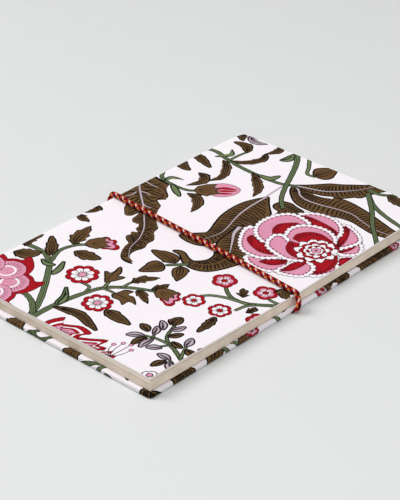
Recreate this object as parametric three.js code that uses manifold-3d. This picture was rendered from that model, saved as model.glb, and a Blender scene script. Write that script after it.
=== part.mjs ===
// A cloth-covered diary lying closed, with a braided cord looped round its middle.
// Millimetres. X runs from the spine (-) to the fore-edge (+), Y from the tail (-) to the head (+),
// Z up. The back cover lies on z = 0 and its outline is centred on the origin.
import * as THREE from 'three';
import * as BufferGeometryUtils from 'three/addons/utils/BufferGeometryUtils.js';
import Module from 'manifold-3d';

const wasm = await Module();
wasm.setup();

// Driving dimensions: outline
const coverWidth = 130;         // back cover, spine to fore-edge
const coverLength = 209;        // back cover, tail to head
const square = 3;               // how far the back cover stands out past the pages
const coverCornerRadius = 2.4;  // back cover corners seen from above
const coverEdgeRadius = 0.7;    // cloth rounded over the board's edges
const shoulderRadius = 1.5;     // cloth rounded over the spine's two long edges
const frontCornerRadius = 1.2;  // front cover corners at the spine

// Driving dimensions: thicknesses
const clothThickness = 0.35;
const backBoardThickness = 1.55;
const frontBoardThickness = 0.82;
const endpaperThickness = 0.2;
const sectionThickness = 0.5;
const liningThickness = 0.3;    // kraft strip on the spine
const gauzeThickness = 0.3;     // open-weave gauze glued over the folds
const stitchThickness = 0.22;   // thread where it shows on the folds

// Driving dimensions: sections, sewing, turn-ins
const frontSectionCount = 4;    // sections that turn with the front cover
const backSectionCount = 4;     // sections that stay with the spine
const stitchCount = 4;
const stitchWidth = 1.2;
const stitchEndMargin = 25;     // from the pages' tail and head to the nearest stitch
const turnInWidth = 15;         // cloth folded over the back board's inside
const pastedownMargin = 0.6;    // back pastedown kept back from the spine cloth

// Clearances
const glueGap = 0.01;           // glued layers
const leafGap = 0.02;           // layers that part when the diary opens
const cordGap = 0.08;           // cord to what it lies on

// Driving dimensions: cord
const cordDiameter = 2.7;
const cordFlatThickness = 0.8;  // cord pressed flat under the diary
const cordFlatWidth = 4.2;
const cordSkew = 0.055;         // sideways run per millimetre across the cover
const cordSides = 10;
const cordStep = 5.5;           // distance between rings on a straight run
const cordBendSteps = 6;

// Heights, from the table up
const backBoardBottom = clothThickness + glueGap;
const backBoardTop = backBoardBottom + backBoardThickness;
const turnInBottom = backBoardTop + glueGap;
const turnInTop = turnInBottom + clothThickness;
const backPastedownTop = turnInTop + glueGap + endpaperThickness;
const backFlyleafBottom = backPastedownTop + leafGap;
const backFlyleafTop = backFlyleafBottom + endpaperThickness;
const backSectionsBottom = backFlyleafTop + leafGap;
const backSectionPitch = sectionThickness + glueGap;
const backSectionsTop = backSectionsBottom + backSectionCount * backSectionPitch - glueGap;
const frontHingeHeight = backSectionsTop + leafGap / 2;
const frontSectionsBottom = backSectionsTop + leafGap;
const frontSectionPitch = sectionThickness + leafGap;
const frontFlyleafBottom = frontSectionsBottom + frontSectionCount * frontSectionPitch;
const frontFlyleafTop = frontFlyleafBottom + endpaperThickness;
const frontPastedownBottom = frontFlyleafTop + leafGap;
const frontPastedownTop = frontPastedownBottom + endpaperThickness;
const frontBoardBottom = frontPastedownTop + glueGap;
const frontBoardTop = frontBoardBottom + frontBoardThickness;
const frontClothBottom = frontBoardTop + glueGap;
const diaryTop = frontClothBottom + clothThickness;

// Places along X and Y
const spineX = -coverWidth / 2;
const coverForeEdgeX = coverWidth / 2;
const pageForeEdgeX = coverForeEdgeX - square;
const pageLength = coverLength - 2 * square;
const spineClothInnerX = spineX + clothThickness;
const liningX = spineClothInnerX + glueGap;
const gauzeX = liningX + liningThickness + glueGap;
const stitchX = gauzeX + gauzeThickness + glueGap;
const foldX = stitchX + stitchThickness + glueGap;

// Booleans
function toSolid(geometry) {
  const bare = geometry.clone();
  bare.deleteAttribute('normal');
  bare.deleteAttribute('uv');
  const merged = BufferGeometryUtils.mergeVertices(bare, 1e-5);
  const vertProperties = new Float32Array(merged.attributes.position.array);
  const triVerts = new Uint32Array(merged.index.array);
  return new wasm.Manifold(new wasm.Mesh({ numProp: 3, vertProperties, triVerts }));
}

function toGeometry(solid) {
  const mesh = solid.getMesh();
  const geometry = new THREE.BufferGeometry();
  geometry.setAttribute('position', new THREE.BufferAttribute(new Float32Array(mesh.vertProperties), 3));
  geometry.setIndex(Array.from(mesh.triVerts));
  geometry.computeVertexNormals();
  return geometry;
}

// Shapes
function boxBetween(x0, x1, y0, y1, z0, z1) {
  const geometry = new THREE.BoxGeometry(x1 - x0, y1 - y0, z1 - z0);
  geometry.translate((x0 + x1) / 2, (y0 + y1) / 2, (z0 + z1) / 2);
  return geometry;
}

function roundedOutline(x0, x1, y0, y1, radiusLeft, radiusRight) {
  const shape = new THREE.Shape();
  const rightAngle = Math.PI / 2;
  shape.moveTo(x0 + radiusLeft, y0);
  shape.lineTo(x1 - radiusRight, y0);
  if (radiusRight > 0) shape.absarc(x1 - radiusRight, y0 + radiusRight, radiusRight, -rightAngle, 0);
  shape.lineTo(x1, y1 - radiusRight);
  if (radiusRight > 0) shape.absarc(x1 - radiusRight, y1 - radiusRight, radiusRight, 0, rightAngle);
  shape.lineTo(x0 + radiusLeft, y1);
  if (radiusLeft > 0) shape.absarc(x0 + radiusLeft, y1 - radiusLeft, radiusLeft, rightAngle, 2 * rightAngle);
  shape.lineTo(x0, y0 + radiusLeft);
  if (radiusLeft > 0) shape.absarc(x0 + radiusLeft, y0 + radiusLeft, radiusLeft, 2 * rightAngle, 3 * rightAngle);
  return shape;
}

// A plan outline raised from z0 to z1.
function raised(shape, z0, z1) {
  const geometry = new THREE.ExtrudeGeometry(shape, { depth: z1 - z0, bevelEnabled: false, curveSegments: 6 });
  geometry.translate(0, 0, z0);
  return geometry;
}

// A profile drawn in X and Z, drawn out along Y for the given length, centred on y = 0.
function drawnAlongY(profile, length) {
  const geometry = new THREE.ExtrudeGeometry(profile, { depth: length, bevelEnabled: false, curveSegments: 6 });
  geometry.rotateX(Math.PI / 2);
  geometry.translate(0, length / 2, 0);
  return geometry;
}

// Cloth bends over a long edge of the spine: a wall beside the spine and a sheet beside a cover.
// The wall runs from z = wallEnd to the sheet's outer face, and up says which way that face looks.
function shoulderProfile(sheetOuterZ, sheetInnerZ, sheetEndX, wallEndZ, up) {
  const profile = new THREE.Shape();
  const rightAngle = Math.PI / 2;
  const innerRadius = shoulderRadius - clothThickness;
  const arcX = spineX + shoulderRadius;
  const arcZ = sheetOuterZ - up * shoulderRadius;
  profile.moveTo(sheetEndX, sheetOuterZ);
  profile.lineTo(arcX, sheetOuterZ);
  profile.absarc(arcX, arcZ, shoulderRadius, up * rightAngle, 2 * rightAngle * up, up < 0);
  profile.lineTo(spineX, wallEndZ);
  profile.lineTo(spineClothInnerX, wallEndZ);
  profile.lineTo(spineClothInnerX, arcZ);
  profile.absarc(arcX, arcZ, innerRadius, 2 * rightAngle * up, up * rightAngle, up > 0);
  profile.lineTo(sheetEndX, sheetInnerZ);
  return profile;
}

const parts = new THREE.Group();

function addPart(name, geometry, color, roughness) {
  const material = new THREE.MeshStandardMaterial({ color, roughness, metalness: 0 });
  const mesh = new THREE.Mesh(geometry, material);
  mesh.name = name;
  parts.add(mesh);
}

const clothColor = '#f1ebf0';
const boardColor = '#a39a8c';
const paperColor = '#e2d6c4';
const endpaperColor = '#ece4d6';
const kraftColor = '#b08d62';
const gauzeColor = '#e9e4d8';
const threadColor = '#efe9dc';
const cordColor = '#b3202b';

// The cord presses a shallow channel across the underside, so that the diary still lies flat.
const channelDepth = cordFlatThickness + cordGap;
const channelWidth = cordFlatWidth + 2 * cordGap;

function channelCutter(depth, width) {
  const reach = coverWidth;
  const halfWidth = width / 2;
  const shape = new THREE.Shape();
  shape.moveTo(-reach, cordSkew * reach - halfWidth);
  shape.lineTo(reach, -cordSkew * reach - halfWidth);
  shape.lineTo(reach, -cordSkew * reach + halfWidth);
  shape.lineTo(-reach, cordSkew * reach + halfWidth);
  return toSolid(raised(shape, -depth, depth));
}

// Back cover
function backBoard() {
  const inset = clothThickness + glueGap;
  const outline = roundedOutline(
    spineClothInnerX + glueGap, coverForeEdgeX - inset,
    -coverLength / 2 + inset, coverLength / 2 - inset,
    0, coverCornerRadius - inset,
  );
  const board = toSolid(raised(outline, backBoardBottom, backBoardTop));
  const cutter = channelCutter(channelDepth + clothThickness + glueGap, channelWidth + 2 * clothThickness);
  return board.subtract(cutter);
}

function backCoverCloth() {
  const edge = coverEdgeRadius;
  const plateStartX = spineX + shoulderRadius;
  const outline = roundedOutline(
    plateStartX, coverForeEdgeX - edge,
    -coverLength / 2 + edge, coverLength / 2 - edge,
    0, coverCornerRadius - edge,
  );
  const plateGeometry = new THREE.ExtrudeGeometry(outline, {
    depth: turnInTop - 2 * edge,
    bevelSize: edge,
    bevelThickness: edge,
    bevelSegments: 3,
    curveSegments: 6,
  });
  plateGeometry.translate(0, 0, edge);
  const spineSide = toSolid(boxBetween(
    spineX - coverWidth, plateStartX + clothThickness, -coverLength, coverLength, -coverWidth, coverWidth,
  ));
  const plate = toSolid(plateGeometry).subtract(spineSide);
  const shoulderEndX = plateStartX + square;
  const shoulder = toSolid(drawnAlongY(
    shoulderProfile(0, clothThickness, shoulderEndX, backPastedownTop, -1), pageLength,
  ));
  const boardPocket = toSolid(raised(roundedOutline(
    spineClothInnerX, coverForeEdgeX - clothThickness,
    -coverLength / 2 + clothThickness, coverLength / 2 - clothThickness,
    0, coverCornerRadius - clothThickness,
  ), clothThickness, turnInBottom));
  const pocketBelowChannel = channelCutter(channelDepth + clothThickness, channelWidth + 2 * clothThickness);
  const opening = toSolid(boxBetween(
    spineClothInnerX, coverForeEdgeX - turnInWidth,
    -coverLength / 2 + turnInWidth, coverLength / 2 - turnInWidth,
    turnInBottom - glueGap, diaryTop,
  ));
  const channel = channelCutter(channelDepth, channelWidth);
  return plate.add(shoulder)
    .subtract(boardPocket.subtract(pocketBelowChannel))
    .subtract(opening)
    .subtract(channel);
}

// The endpaper is glued over the turn-ins and steps down on to the board between them.
function backPastedown() {
  const sheetStartX = spineClothInnerX + pastedownMargin;
  const plate = toSolid(boxBetween(
    sheetStartX, pageForeEdgeX, -pageLength / 2, pageLength / 2, turnInTop + glueGap, backPastedownTop,
  ));
  const stepX = coverForeEdgeX - turnInWidth - glueGap;
  const stepY = coverLength / 2 - turnInWidth - glueGap;
  const tray = toSolid(boxBetween(sheetStartX, stepX, -stepY, stepY, turnInBottom, backPastedownTop));
  const hollow = toSolid(boxBetween(
    sheetStartX - endpaperThickness, stepX - endpaperThickness,
    -stepY + endpaperThickness, stepY - endpaperThickness,
    turnInBottom + endpaperThickness, diaryTop,
  ));
  return plate.add(tray).subtract(hollow);
}

addPart('back_cover_cloth', toGeometry(backCoverCloth()), clothColor, 0.85);
addPart('back_board', toGeometry(backBoard()), boardColor, 0.9);
addPart('back_pastedown', toGeometry(backPastedown()), endpaperColor, 0.9);

// Pages
function sheet(z0, z1) {
  return boxBetween(foldX, pageForeEdgeX, -pageLength / 2, pageLength / 2, z0, z1);
}

// A section is a stack of folded leaves, round at the fold and cut flush at the fore-edge.
function section(z0) {
  const radius = sectionThickness / 2;
  const rightAngle = Math.PI / 2;
  const profile = new THREE.Shape();
  profile.moveTo(pageForeEdgeX, z0);
  profile.lineTo(pageForeEdgeX, z0 + sectionThickness);
  profile.lineTo(foldX + radius, z0 + sectionThickness);
  profile.absarc(foldX + radius, z0 + radius, radius, rightAngle, 3 * rightAngle);
  return drawnAlongY(profile, pageLength);
}

addPart('back_flyleaf', sheet(backFlyleafBottom, backFlyleafTop), endpaperColor, 0.9);
for (let i = 0; i < backSectionCount; i += 1) {
  const number = frontSectionCount + backSectionCount - i;
  addPart(`section_${number}`, section(backSectionsBottom + i * backSectionPitch), paperColor, 0.9);
}
for (let i = 0; i < frontSectionCount; i += 1) {
  const number = frontSectionCount - i;
  addPart(`section_${number}`, section(frontSectionsBottom + i * frontSectionPitch), paperColor, 0.9);
}
addPart('front_flyleaf', sheet(frontFlyleafBottom, frontFlyleafTop), endpaperColor, 0.9);

// Spine
function spineLayer(x0, x1) {
  return boxBetween(x0, x1, -pageLength / 2, pageLength / 2, backSectionsBottom, backSectionsTop);
}

addPart('spine_cloth', spineLayer(spineX, spineClothInnerX), clothColor, 0.85);
addPart('spine_lining', spineLayer(liningX, liningX + liningThickness), kraftColor, 0.9);
addPart('spine_gauze', spineLayer(gauzeX, gauzeX + gauzeThickness), gauzeColor, 0.95);

const stitchSpan = pageLength - 2 * stitchEndMargin;
for (let i = 0; i < stitchCount; i += 1) {
  const y = -stitchSpan / 2 + (stitchSpan * i) / Math.max(stitchCount - 1, 1);
  const outline = roundedOutline(
    stitchX, stitchX + stitchThickness, y - stitchWidth / 2, y + stitchWidth / 2,
    stitchThickness / 3, stitchThickness / 3,
  );
  addPart(`stitch_${i + 1}`, raised(outline, backSectionsBottom, backSectionsTop), threadColor, 0.9);
}

// Front cover: cut flush with the pages, its cloth carried down over the spine
function frontOutline(startX) {
  return roundedOutline(startX, pageForeEdgeX, -pageLength / 2, pageLength / 2, frontCornerRadius, 0);
}

function frontCoverCloth() {
  const profile = shoulderProfile(diaryTop, frontClothBottom, pageForeEdgeX, frontHingeHeight + leafGap / 2, 1);
  const trimmed = toSolid(raised(frontOutline(spineX), 0, diaryTop + 1));
  return toSolid(drawnAlongY(profile, pageLength)).intersect(trimmed);
}

function frontBoard() {
  return raised(frontOutline(spineX + shoulderRadius), frontBoardBottom, frontBoardTop);
}

addPart('front_cover_cloth', toGeometry(frontCoverCloth()), clothColor, 0.85);
addPart('front_board', frontBoard(), boardColor, 0.9);
addPart('front_pastedown', sheet(frontPastedownBottom, frontPastedownTop), endpaperColor, 0.9);

// Cord: a closed loop round the diary's middle, round where it is free and flat underneath
function cordRings() {
  const radius = cordDiameter / 2;
  const flat = cordFlatThickness / 2;
  const topZ = diaryTop + cordGap + radius;
  const bottomZ = flat;
  const spineOuter = spineX - cordGap;
  const coverOuter = coverForeEdgeX + cordGap;
  const pageOuter = pageForeEdgeX + cordGap;
  // Corners of the loop's centre line, with the cord's half thickness there and the bend's radius.
  const corners = [
    { x: spineOuter - radius, z: topZ, half: radius, bend: shoulderRadius + radius },
    { x: pageOuter + radius * 0.55, z: topZ, half: radius, bend: radius * 1.25 },
    { x: coverOuter + radius, z: turnInTop + radius * 0.4, half: radius, bend: radius * 1.25 },
    { x: coverOuter + flat, z: bottomZ, half: flat, bend: flat * 1.2 },
    { x: spineOuter - flat, z: bottomZ, half: flat, bend: flat * 1.2 },
    { x: spineOuter - radius, z: turnInTop + radius, half: radius, bend: radius * 1.25 },
  ];
  const rings = [];
  const count = corners.length;
  const place = (corner) => new THREE.Vector2(corner.x, corner.z);
  for (let i = 0; i < count; i += 1) {
    const before = place(corners[(i + count - 1) % count]);
    const here = place(corners[i]);
    const after = place(corners[(i + 1) % count]);
    const nextCorner = corners[(i + 1) % count];
    const nextAfter = place(corners[(i + 2) % count]);
    const bendIn = bendPoint(before, here, after, corners[i].bend);
    const nextBend = bendPoint(here, after, nextAfter, nextCorner.bend);
    for (let k = 0; k <= cordBendSteps; k += 1) {
      const t = k / cordBendSteps;
      rings.push({ point: quadratic(bendIn.start, here, bendIn.end, t), half: corners[i].half });
    }
    const run = nextBend.start.clone().sub(bendIn.end);
    const steps = Math.max(2, Math.ceil(run.length() / cordStep));
    for (let k = 1; k < steps; k += 1) {
      const t = k / steps;
      const eased = t * t * (3 - 2 * t);
      const half = corners[i].half + (nextCorner.half - corners[i].half) * eased;
      rings.push({ point: bendIn.end.clone().addScaledVector(run, t), half });
    }
  }
  return rings;
}

// Where a bend of the given radius starts and ends on the two straight runs that meet at a corner.
function bendPoint(before, here, after, radius) {
  const inward = before.clone().sub(here);
  const onward = after.clone().sub(here);
  const angle = Math.acos(inward.clone().normalize().dot(onward.clone().normalize()));
  const reach = Math.min(radius / Math.tan(angle / 2), inward.length() * 0.45, onward.length() * 0.45);
  return {
    start: here.clone().addScaledVector(inward.normalize(), reach),
    end: here.clone().addScaledVector(onward.normalize(), reach),
  };
}

function quadratic(start, control, end, t) {
  const point = start.clone().multiplyScalar((1 - t) * (1 - t));
  point.addScaledVector(control, 2 * t * (1 - t));
  return point.addScaledVector(end, t * t);
}

// The section keeps its area as it flattens, from a circle to the flat width underneath.
function cordGeometry() {
  const rings = cordRings();
  const flat = cordFlatThickness / 2;
  const radius = cordDiameter / 2;
  const positions = [];
  const index = [];
  rings.forEach((ring, i) => {
    const ahead = rings[(i + 1) % rings.length].point;
    const behind = rings[(i + rings.length - 1) % rings.length].point;
    const along = ahead.clone().sub(behind).normalize();
    const outward = new THREE.Vector2(-along.y, along.x);
    const share = (radius - ring.half) / (radius - flat);
    const halfWidth = radius + (cordFlatWidth / 2 - radius) * share;
    for (let k = 0; k < cordSides; k += 1) {
      const angle = (2 * Math.PI * (k + 0.5)) / cordSides;
      const rise = ring.half * Math.cos(angle);
      const x = ring.point.x + outward.x * rise;
      const z = ring.point.y + outward.y * rise;
      positions.push(x, -cordSkew * ring.point.x + halfWidth * Math.sin(angle), z);
    }
  });
  for (let i = 0; i < rings.length; i += 1) {
    const next = (i + 1) % rings.length;
    for (let k = 0; k < cordSides; k += 1) {
      const side = (k + 1) % cordSides;
      const a = i * cordSides + k;
      const b = i * cordSides + side;
      const c = next * cordSides + side;
      const d = next * cordSides + k;
      index.push(a, c, b, a, d, c);
    }
  }
  const geometry = new THREE.BufferGeometry();
  geometry.setAttribute('position', new THREE.Float32BufferAttribute(positions, 3));
  geometry.setIndex(index);
  geometry.computeVertexNormals();
  return geometry;
}

addPart('closure_cord', cordGeometry(), cordColor, 0.75);

export default parts;
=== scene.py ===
# A cloth-covered diary lying closed, with a braided cord looped round its middle.
# The frame is the CAD's: X from the spine (-) to the fore-edge (+), Y from the tail (-) to the head (+),
# Z up, in metres. Sizes below are in millimetres and are turned into metres where a mesh is made.
import math
import random

import bpy
import numpy as np
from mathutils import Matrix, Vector
from mathutils.geometry import delaunay_2d_cdt


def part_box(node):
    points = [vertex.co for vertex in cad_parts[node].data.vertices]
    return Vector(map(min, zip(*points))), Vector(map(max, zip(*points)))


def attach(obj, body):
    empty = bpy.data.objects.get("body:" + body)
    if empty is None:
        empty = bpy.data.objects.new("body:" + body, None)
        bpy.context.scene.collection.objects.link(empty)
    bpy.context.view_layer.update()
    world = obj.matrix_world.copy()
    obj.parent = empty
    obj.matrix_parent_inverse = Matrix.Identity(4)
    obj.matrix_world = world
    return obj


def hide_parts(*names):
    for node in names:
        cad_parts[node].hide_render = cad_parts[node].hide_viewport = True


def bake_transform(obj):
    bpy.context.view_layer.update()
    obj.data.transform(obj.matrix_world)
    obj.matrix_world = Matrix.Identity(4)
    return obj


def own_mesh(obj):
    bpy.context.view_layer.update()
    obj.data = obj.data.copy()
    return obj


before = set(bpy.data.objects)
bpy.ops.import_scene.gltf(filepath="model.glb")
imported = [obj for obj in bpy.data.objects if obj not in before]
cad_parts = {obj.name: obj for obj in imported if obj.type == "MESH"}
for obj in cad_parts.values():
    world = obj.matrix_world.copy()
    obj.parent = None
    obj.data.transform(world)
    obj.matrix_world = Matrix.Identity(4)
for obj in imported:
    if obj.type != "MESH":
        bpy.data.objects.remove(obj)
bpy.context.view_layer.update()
mm = 0.001
tiny = 1e-9

# The diary's own sizes, as the CAD has them
diary = {
    "coverHalfWidth": 65.0,
    "coverHalfLength": 104.5,
    "pageForeEdge": 62.0,
    "pageHalfLength": 101.5,
    "clothThickness": 0.35,
    "shoulderRadius": 1.5,
    "edgeRadius": 0.7,
    "cornerRadius": 2.4,
    "turnInTop": 2.27,
    "turnInWidth": 15.0,
    "pagesBottom": 2.5,
    "top": 8.46,
    "clothMeet": 3.74,   # height on the spine where the two cloths meet
}


def boxOf(node):
    # a CAD node's two corners in millimetres
    return [[v / mm for v in corner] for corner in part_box(node)]


# ---- Camera
shot = {
    "azimuth": 42.7,
    "elevation": 30.6,
    "distance": 914.5,
    "aim": (3.7, -6.1, 8.5),
    "lens": 135.8,
    "sensor": 36,
}


def addCamera():
    azimuth = math.radians(shot["azimuth"])
    elevation = math.radians(shot["elevation"])
    forward = Vector((
        -math.sin(azimuth) * math.cos(elevation),
        math.cos(azimuth) * math.cos(elevation),
        -math.sin(elevation),
    ))
    place = (Vector(shot["aim"]) - forward * shot["distance"]) * mm
    bpy.ops.object.camera_add(location=place)
    camera = bpy.context.object
    camera.name = "camera"
    camera.rotation_euler = forward.to_track_quat("-Z", "Y").to_euler()
    camera.data.sensor_width = shot["sensor"]
    camera.data.lens = shot["lens"]
    camera.data.clip_start = 0.01
    bpy.context.scene.camera = camera


addCamera()


# ---- Shader maths
class Wire:
    # wraps a node's output, so that sums written on it add Math nodes
    def __init__(self, tree, socket=None):
        self.tree = tree
        self.socket = socket

    def node(self, kind, settings, sockets, output=0):
        made = self.tree.nodes.new("ShaderNode" + kind)
        for name, value in settings.items():
            setattr(made, name, value)
        for name, value in sockets.items():
            self.feed(made.inputs[name], value)
        return Wire(self.tree, made.outputs[output])

    def feed(self, target, value):
        if isinstance(value, Wire):
            self.tree.links.new(value.socket, target)
        else:
            target.default_value = value

    def sum(self, operation, first, second):
        return self.node("Math", {"operation": operation}, {0: first, 1: second})

    def __add__(self, other):
        return self.sum("ADD", self, other)

    def __radd__(self, other):
        return self.sum("ADD", other, self)

    def __sub__(self, other):
        return self.sum("SUBTRACT", self, other)

    def __rsub__(self, other):
        return self.sum("SUBTRACT", other, self)

    def __mul__(self, other):
        return self.sum("MULTIPLY", self, other)

    def wave(self):
        return self.node("Math", {"operation": "SINE"}, {0: self})

    def clamp(self, low, high):
        return self.node("Clamp", {}, {0: self, 1: low, 2: high})

    def mix(self, factor, first, second, how="MIX"):
        settings = {"data_type": "RGBA", "blend_type": how, "clamp_factor": True}
        return self.node("Mix", settings, {0: factor, 6: first, 7: second}, 2)

    def noise(self, vector, scale, detail=3, roughness=0.6):
        sockets = {"Vector": vector, "Scale": scale, "Detail": detail, "Roughness": roughness}
        return self.node("TexNoise", {"noise_dimensions": "3D"}, sockets)

    def streaks(self, vector, scale, detail=3):
        # noise drawn out along the axes with the small scales
        return self.noise(self.node("Mapping", {}, {"Vector": vector, "Scale": scale}), 1.0, detail)

    def split(self, vector):
        return [self.node("SeparateXYZ", {}, {0: vector}, axis) for axis in range(3)]

    def place(self):
        return self.node("TexCoord", {}, {}, 3)

    def marked(self, name, output=0):
        return self.node("Attribute", {"attribute_name": name}, {}, output)


def colour(red, green, blue, step=0):
    # a colour as seen on a screen, 0 to 255, turned into light
    linear = []
    for level in (red, green, blue):
        level = (level + step) / 255
        linear.append(level / 12.92 if level <= 0.04045 else ((level + 0.055) / 1.055) ** 2.4)
    return (*linear, 1.0)


def newMaterial(name):
    material = bpy.data.materials.new(name)
    material.use_nodes = True
    return material, Wire(material.node_tree)


def finishMaterial(material, tone, roughness, shine=0.5, height=None, strength=1.0):
    # what every material ends with: its colour, roughness and sheen, and its relief in millimetres
    shader = material.node_tree.nodes["Principled BSDF"].inputs
    tone.feed(shader["Base Color"], tone)
    tone.feed(shader["Roughness"], roughness)
    shader["Specular IOR Level"].default_value = shine
    if height:
        bump = tone.node("Bump", {}, {"Strength": strength, "Distance": mm, "Height": height})
        tone.feed(shader["Normal"], bump)
    return material


# ---- Materials
clothLook = {
    "ground": (245, 240, 244),
    "shade": (229, 220, 226),
    "soot": (20, 12, 10),    # darkens the ink in patches
    "threadPitch": 0.42,
    "weaveDepth": 0.05,
    "slubDepth": 0.06,
    "wear": 0.07,            # how much of the ink is gone at most
    "roughness": 0.88,
    "shine": 0.06,
    "strength": 0.8,
}


def clothMaterial():
    material, wire = newMaterial("printed_cotton")
    look = clothLook
    across = wire.node("UVMap", {"uv_map": "cloth"}, {})
    u, v, _ = wire.split(across)
    turns = 2 * math.pi / look["threadPitch"]
    crossing = (u * (turns / 2)).wave() * (v * (turns / 2)).wave()
    weave = (u * turns).wave() * 0.25 + (v * turns).wave() * 0.25 + crossing * 0.5
    slubs = wire.streaks(across, (0.16, 3.1, 1), 2) + wire.streaks(across, (3.4, 0.2, 1), 2)
    fleck = wire.noise(across, 2.2, 4, 0.7)
    blotch = wire.noise(across, 0.09)
    printed = wire.marked("print")
    inked = wire.marked("print", 3)

    streaky = (slubs * 0.55 - 0.32 + weave * 0.05).clamp(0, 1)
    base = wire.mix(streaky, colour(*look["ground"]), colour(*look["shade"]))
    worn = ((fleck - 0.58) * 0.8 + weave * 0.03 + (slubs - 1) * 0.15).clamp(0, look["wear"])
    ink = wire.mix((blotch - 0.3).clamp(0, 0.5), printed, colour(*look["soot"]), "MULTIPLY")
    ink = wire.mix((blotch - 0.42).clamp(0, 0.24), printed, ink)
    ink = wire.mix(worn, ink, base)
    height = weave * look["weaveDepth"] + slubs * look["slubDepth"]
    tone = wire.mix(inked, base, ink)
    return finishMaterial(material, tone, look["roughness"], look["shine"], height, look["strength"])


paperLook = {
    "stain": (150, 128, 108),   # cloudy patches on the cut edges
    "shadow": (138, 118, 100),  # where the leaves part
    "bright": (252, 242, 230),  # where they lie close
    "roughness": 0.92,
    "shine": 0.2,
    "faceDepth": 0.02,
    "edgeDepth": 0.05,
}


def paperMaterial(name, face, edge, lineScale):
    # paper with fibres and cloudiness, and cut leaves showing as fine lines along its edges
    material, wire = newMaterial(name)
    look = paperLook
    place = wire.place()
    fibres = wire.noise(place, 2600)
    clouds = wire.noise(place, 45)
    leaves = wire.streaks(place, (26, 26, lineScale))
    flat = 1 - wire.marked("cut", 2)
    dark = wire.marked("cut", 3)
    paper = wire.mix(clouds * 0.5, colour(*face), colour(*face, -10))
    cut = wire.mix((leaves * 1.9 - 0.45).clamp(0, 1), colour(*edge), colour(*edge, 16))
    cut = wire.mix((wire.noise(place, 90, 2) - 0.42).clamp(0, 0.3), cut, colour(*look["stain"]))
    cut = wire.mix(((dark - 0.5) * 1.1).clamp(0, 1), cut, colour(*look["shadow"]))
    cut = wire.mix(((0.5 - dark) * 1.2).clamp(0, 1), cut, colour(*look["bright"]))
    height = fibres * look["faceDepth"] + leaves * (1 - flat) * look["edgeDepth"]
    return finishMaterial(material, wire.mix(flat, cut, paper), look["roughness"], look["shine"], height)


def boardPattern(wire, place):
    # pressed fibres, with layers along the cut edge
    fibres = wire.noise(place, 1500, 4)
    layers = wire.streaks(place, (60, 60, 5200), 2)
    return (fibres * 0.6 + layers * 0.5 - 0.2).clamp(0, 1), fibres * 0.03 + layers * 0.03


def gauzePattern(wire, place):
    # open weave
    _, y, z = wire.split(place)
    threads = (y * 5200).wave() * 0.5 + (z * 5200).wave() * 0.5
    return (threads + 0.15).clamp(0, 1), threads * 0.06


def kraftPattern(wire, place):
    fibres = wire.streaks(place, (1200, 240, 1200), 4)
    return fibres, fibres * 0.02


def threadPattern(wire, place):
    _, y, z = wire.split(place)
    twist = (y * 9000 + z * 9000).wave()
    return twist * 0.5 + 0.5, twist * 0.05


def patternMaterial(name, pattern, first, second, roughness):
    # pattern gives how far the second colour shows, and the relief
    material, wire = newMaterial(name)
    factor, height = pattern(wire, wire.place())
    tone = wire.mix(factor, colour(*first), colour(*second))
    return finishMaterial(material, tone, roughness, height=height)


yarnLook = {
    "dark": (196, 186, 186),  # painted shade, multiplied into the yarn's colour between the fibres and along the twist
    "roughness": 0.6,
    "fibreRoughness": 0.3,
    "shine": 0.14,
    "fibreDepth": 0.05,
    "twistDepth": 0.03,
}


def cordMaterial():
    # each strand is a bundle of fine fibres that run along it
    material, wire = newMaterial("braided_cord_yarn")
    look = yarnLook
    along = wire.node("UVMap", {"uv_map": "yarn"}, {})
    u, v, _ = wire.split(along)
    fibres = wire.streaks(along, (1.2, 16, 1))
    twist = (v * (6 * math.pi) + u * 5.0).wave()
    yarn = wire.marked("strand")
    # painted shade: the yarn is darkened between its fibres and along the twist
    dark = wire.mix(1.0, yarn, colour(*look["dark"]), "MULTIPLY")
    tone = wire.mix((0.9 - fibres * 0.9 - twist * 0.12).clamp(0, 0.8), yarn, dark)
    rough = look["roughness"] + fibres * look["fibreRoughness"]
    height = fibres * look["fibreDepth"] + twist * look["twistDepth"]
    return finishMaterial(material, tone, rough, look["shine"], height)


materials = {
    "cloth": clothMaterial(),
    "pages": paperMaterial("page_paper", (240, 230, 217), (238, 221, 204), 9000),
    # the endpapers' cut edges are painted darker than the pages', as painted shade in the gap between the covers
    # and the pages
    "endpaper": paperMaterial("endpaper_sheet", (240, 233, 222), (196, 178, 162), 4000),
    "board": patternMaterial("grey_board", boardPattern, (176, 166, 152), (142, 132, 118), 0.93),
    "card": patternMaterial("cream_card", boardPattern, (246, 233, 222), (212, 199, 188), 0.93),
    "gauze": patternMaterial("spine_gauze_cotton", gauzePattern, (176, 150, 112), (233, 228, 214), 0.95),
    "kraft": patternMaterial("spine_kraft_paper", kraftPattern, (190, 154, 110), (150, 114, 74), 0.9),
    "thread": patternMaterial("sewing_thread", threadPattern, (214, 204, 186), (241, 235, 222), 0.75),
    "cord": cordMaterial(),
}
print("materials ready:", len(materials))


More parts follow.
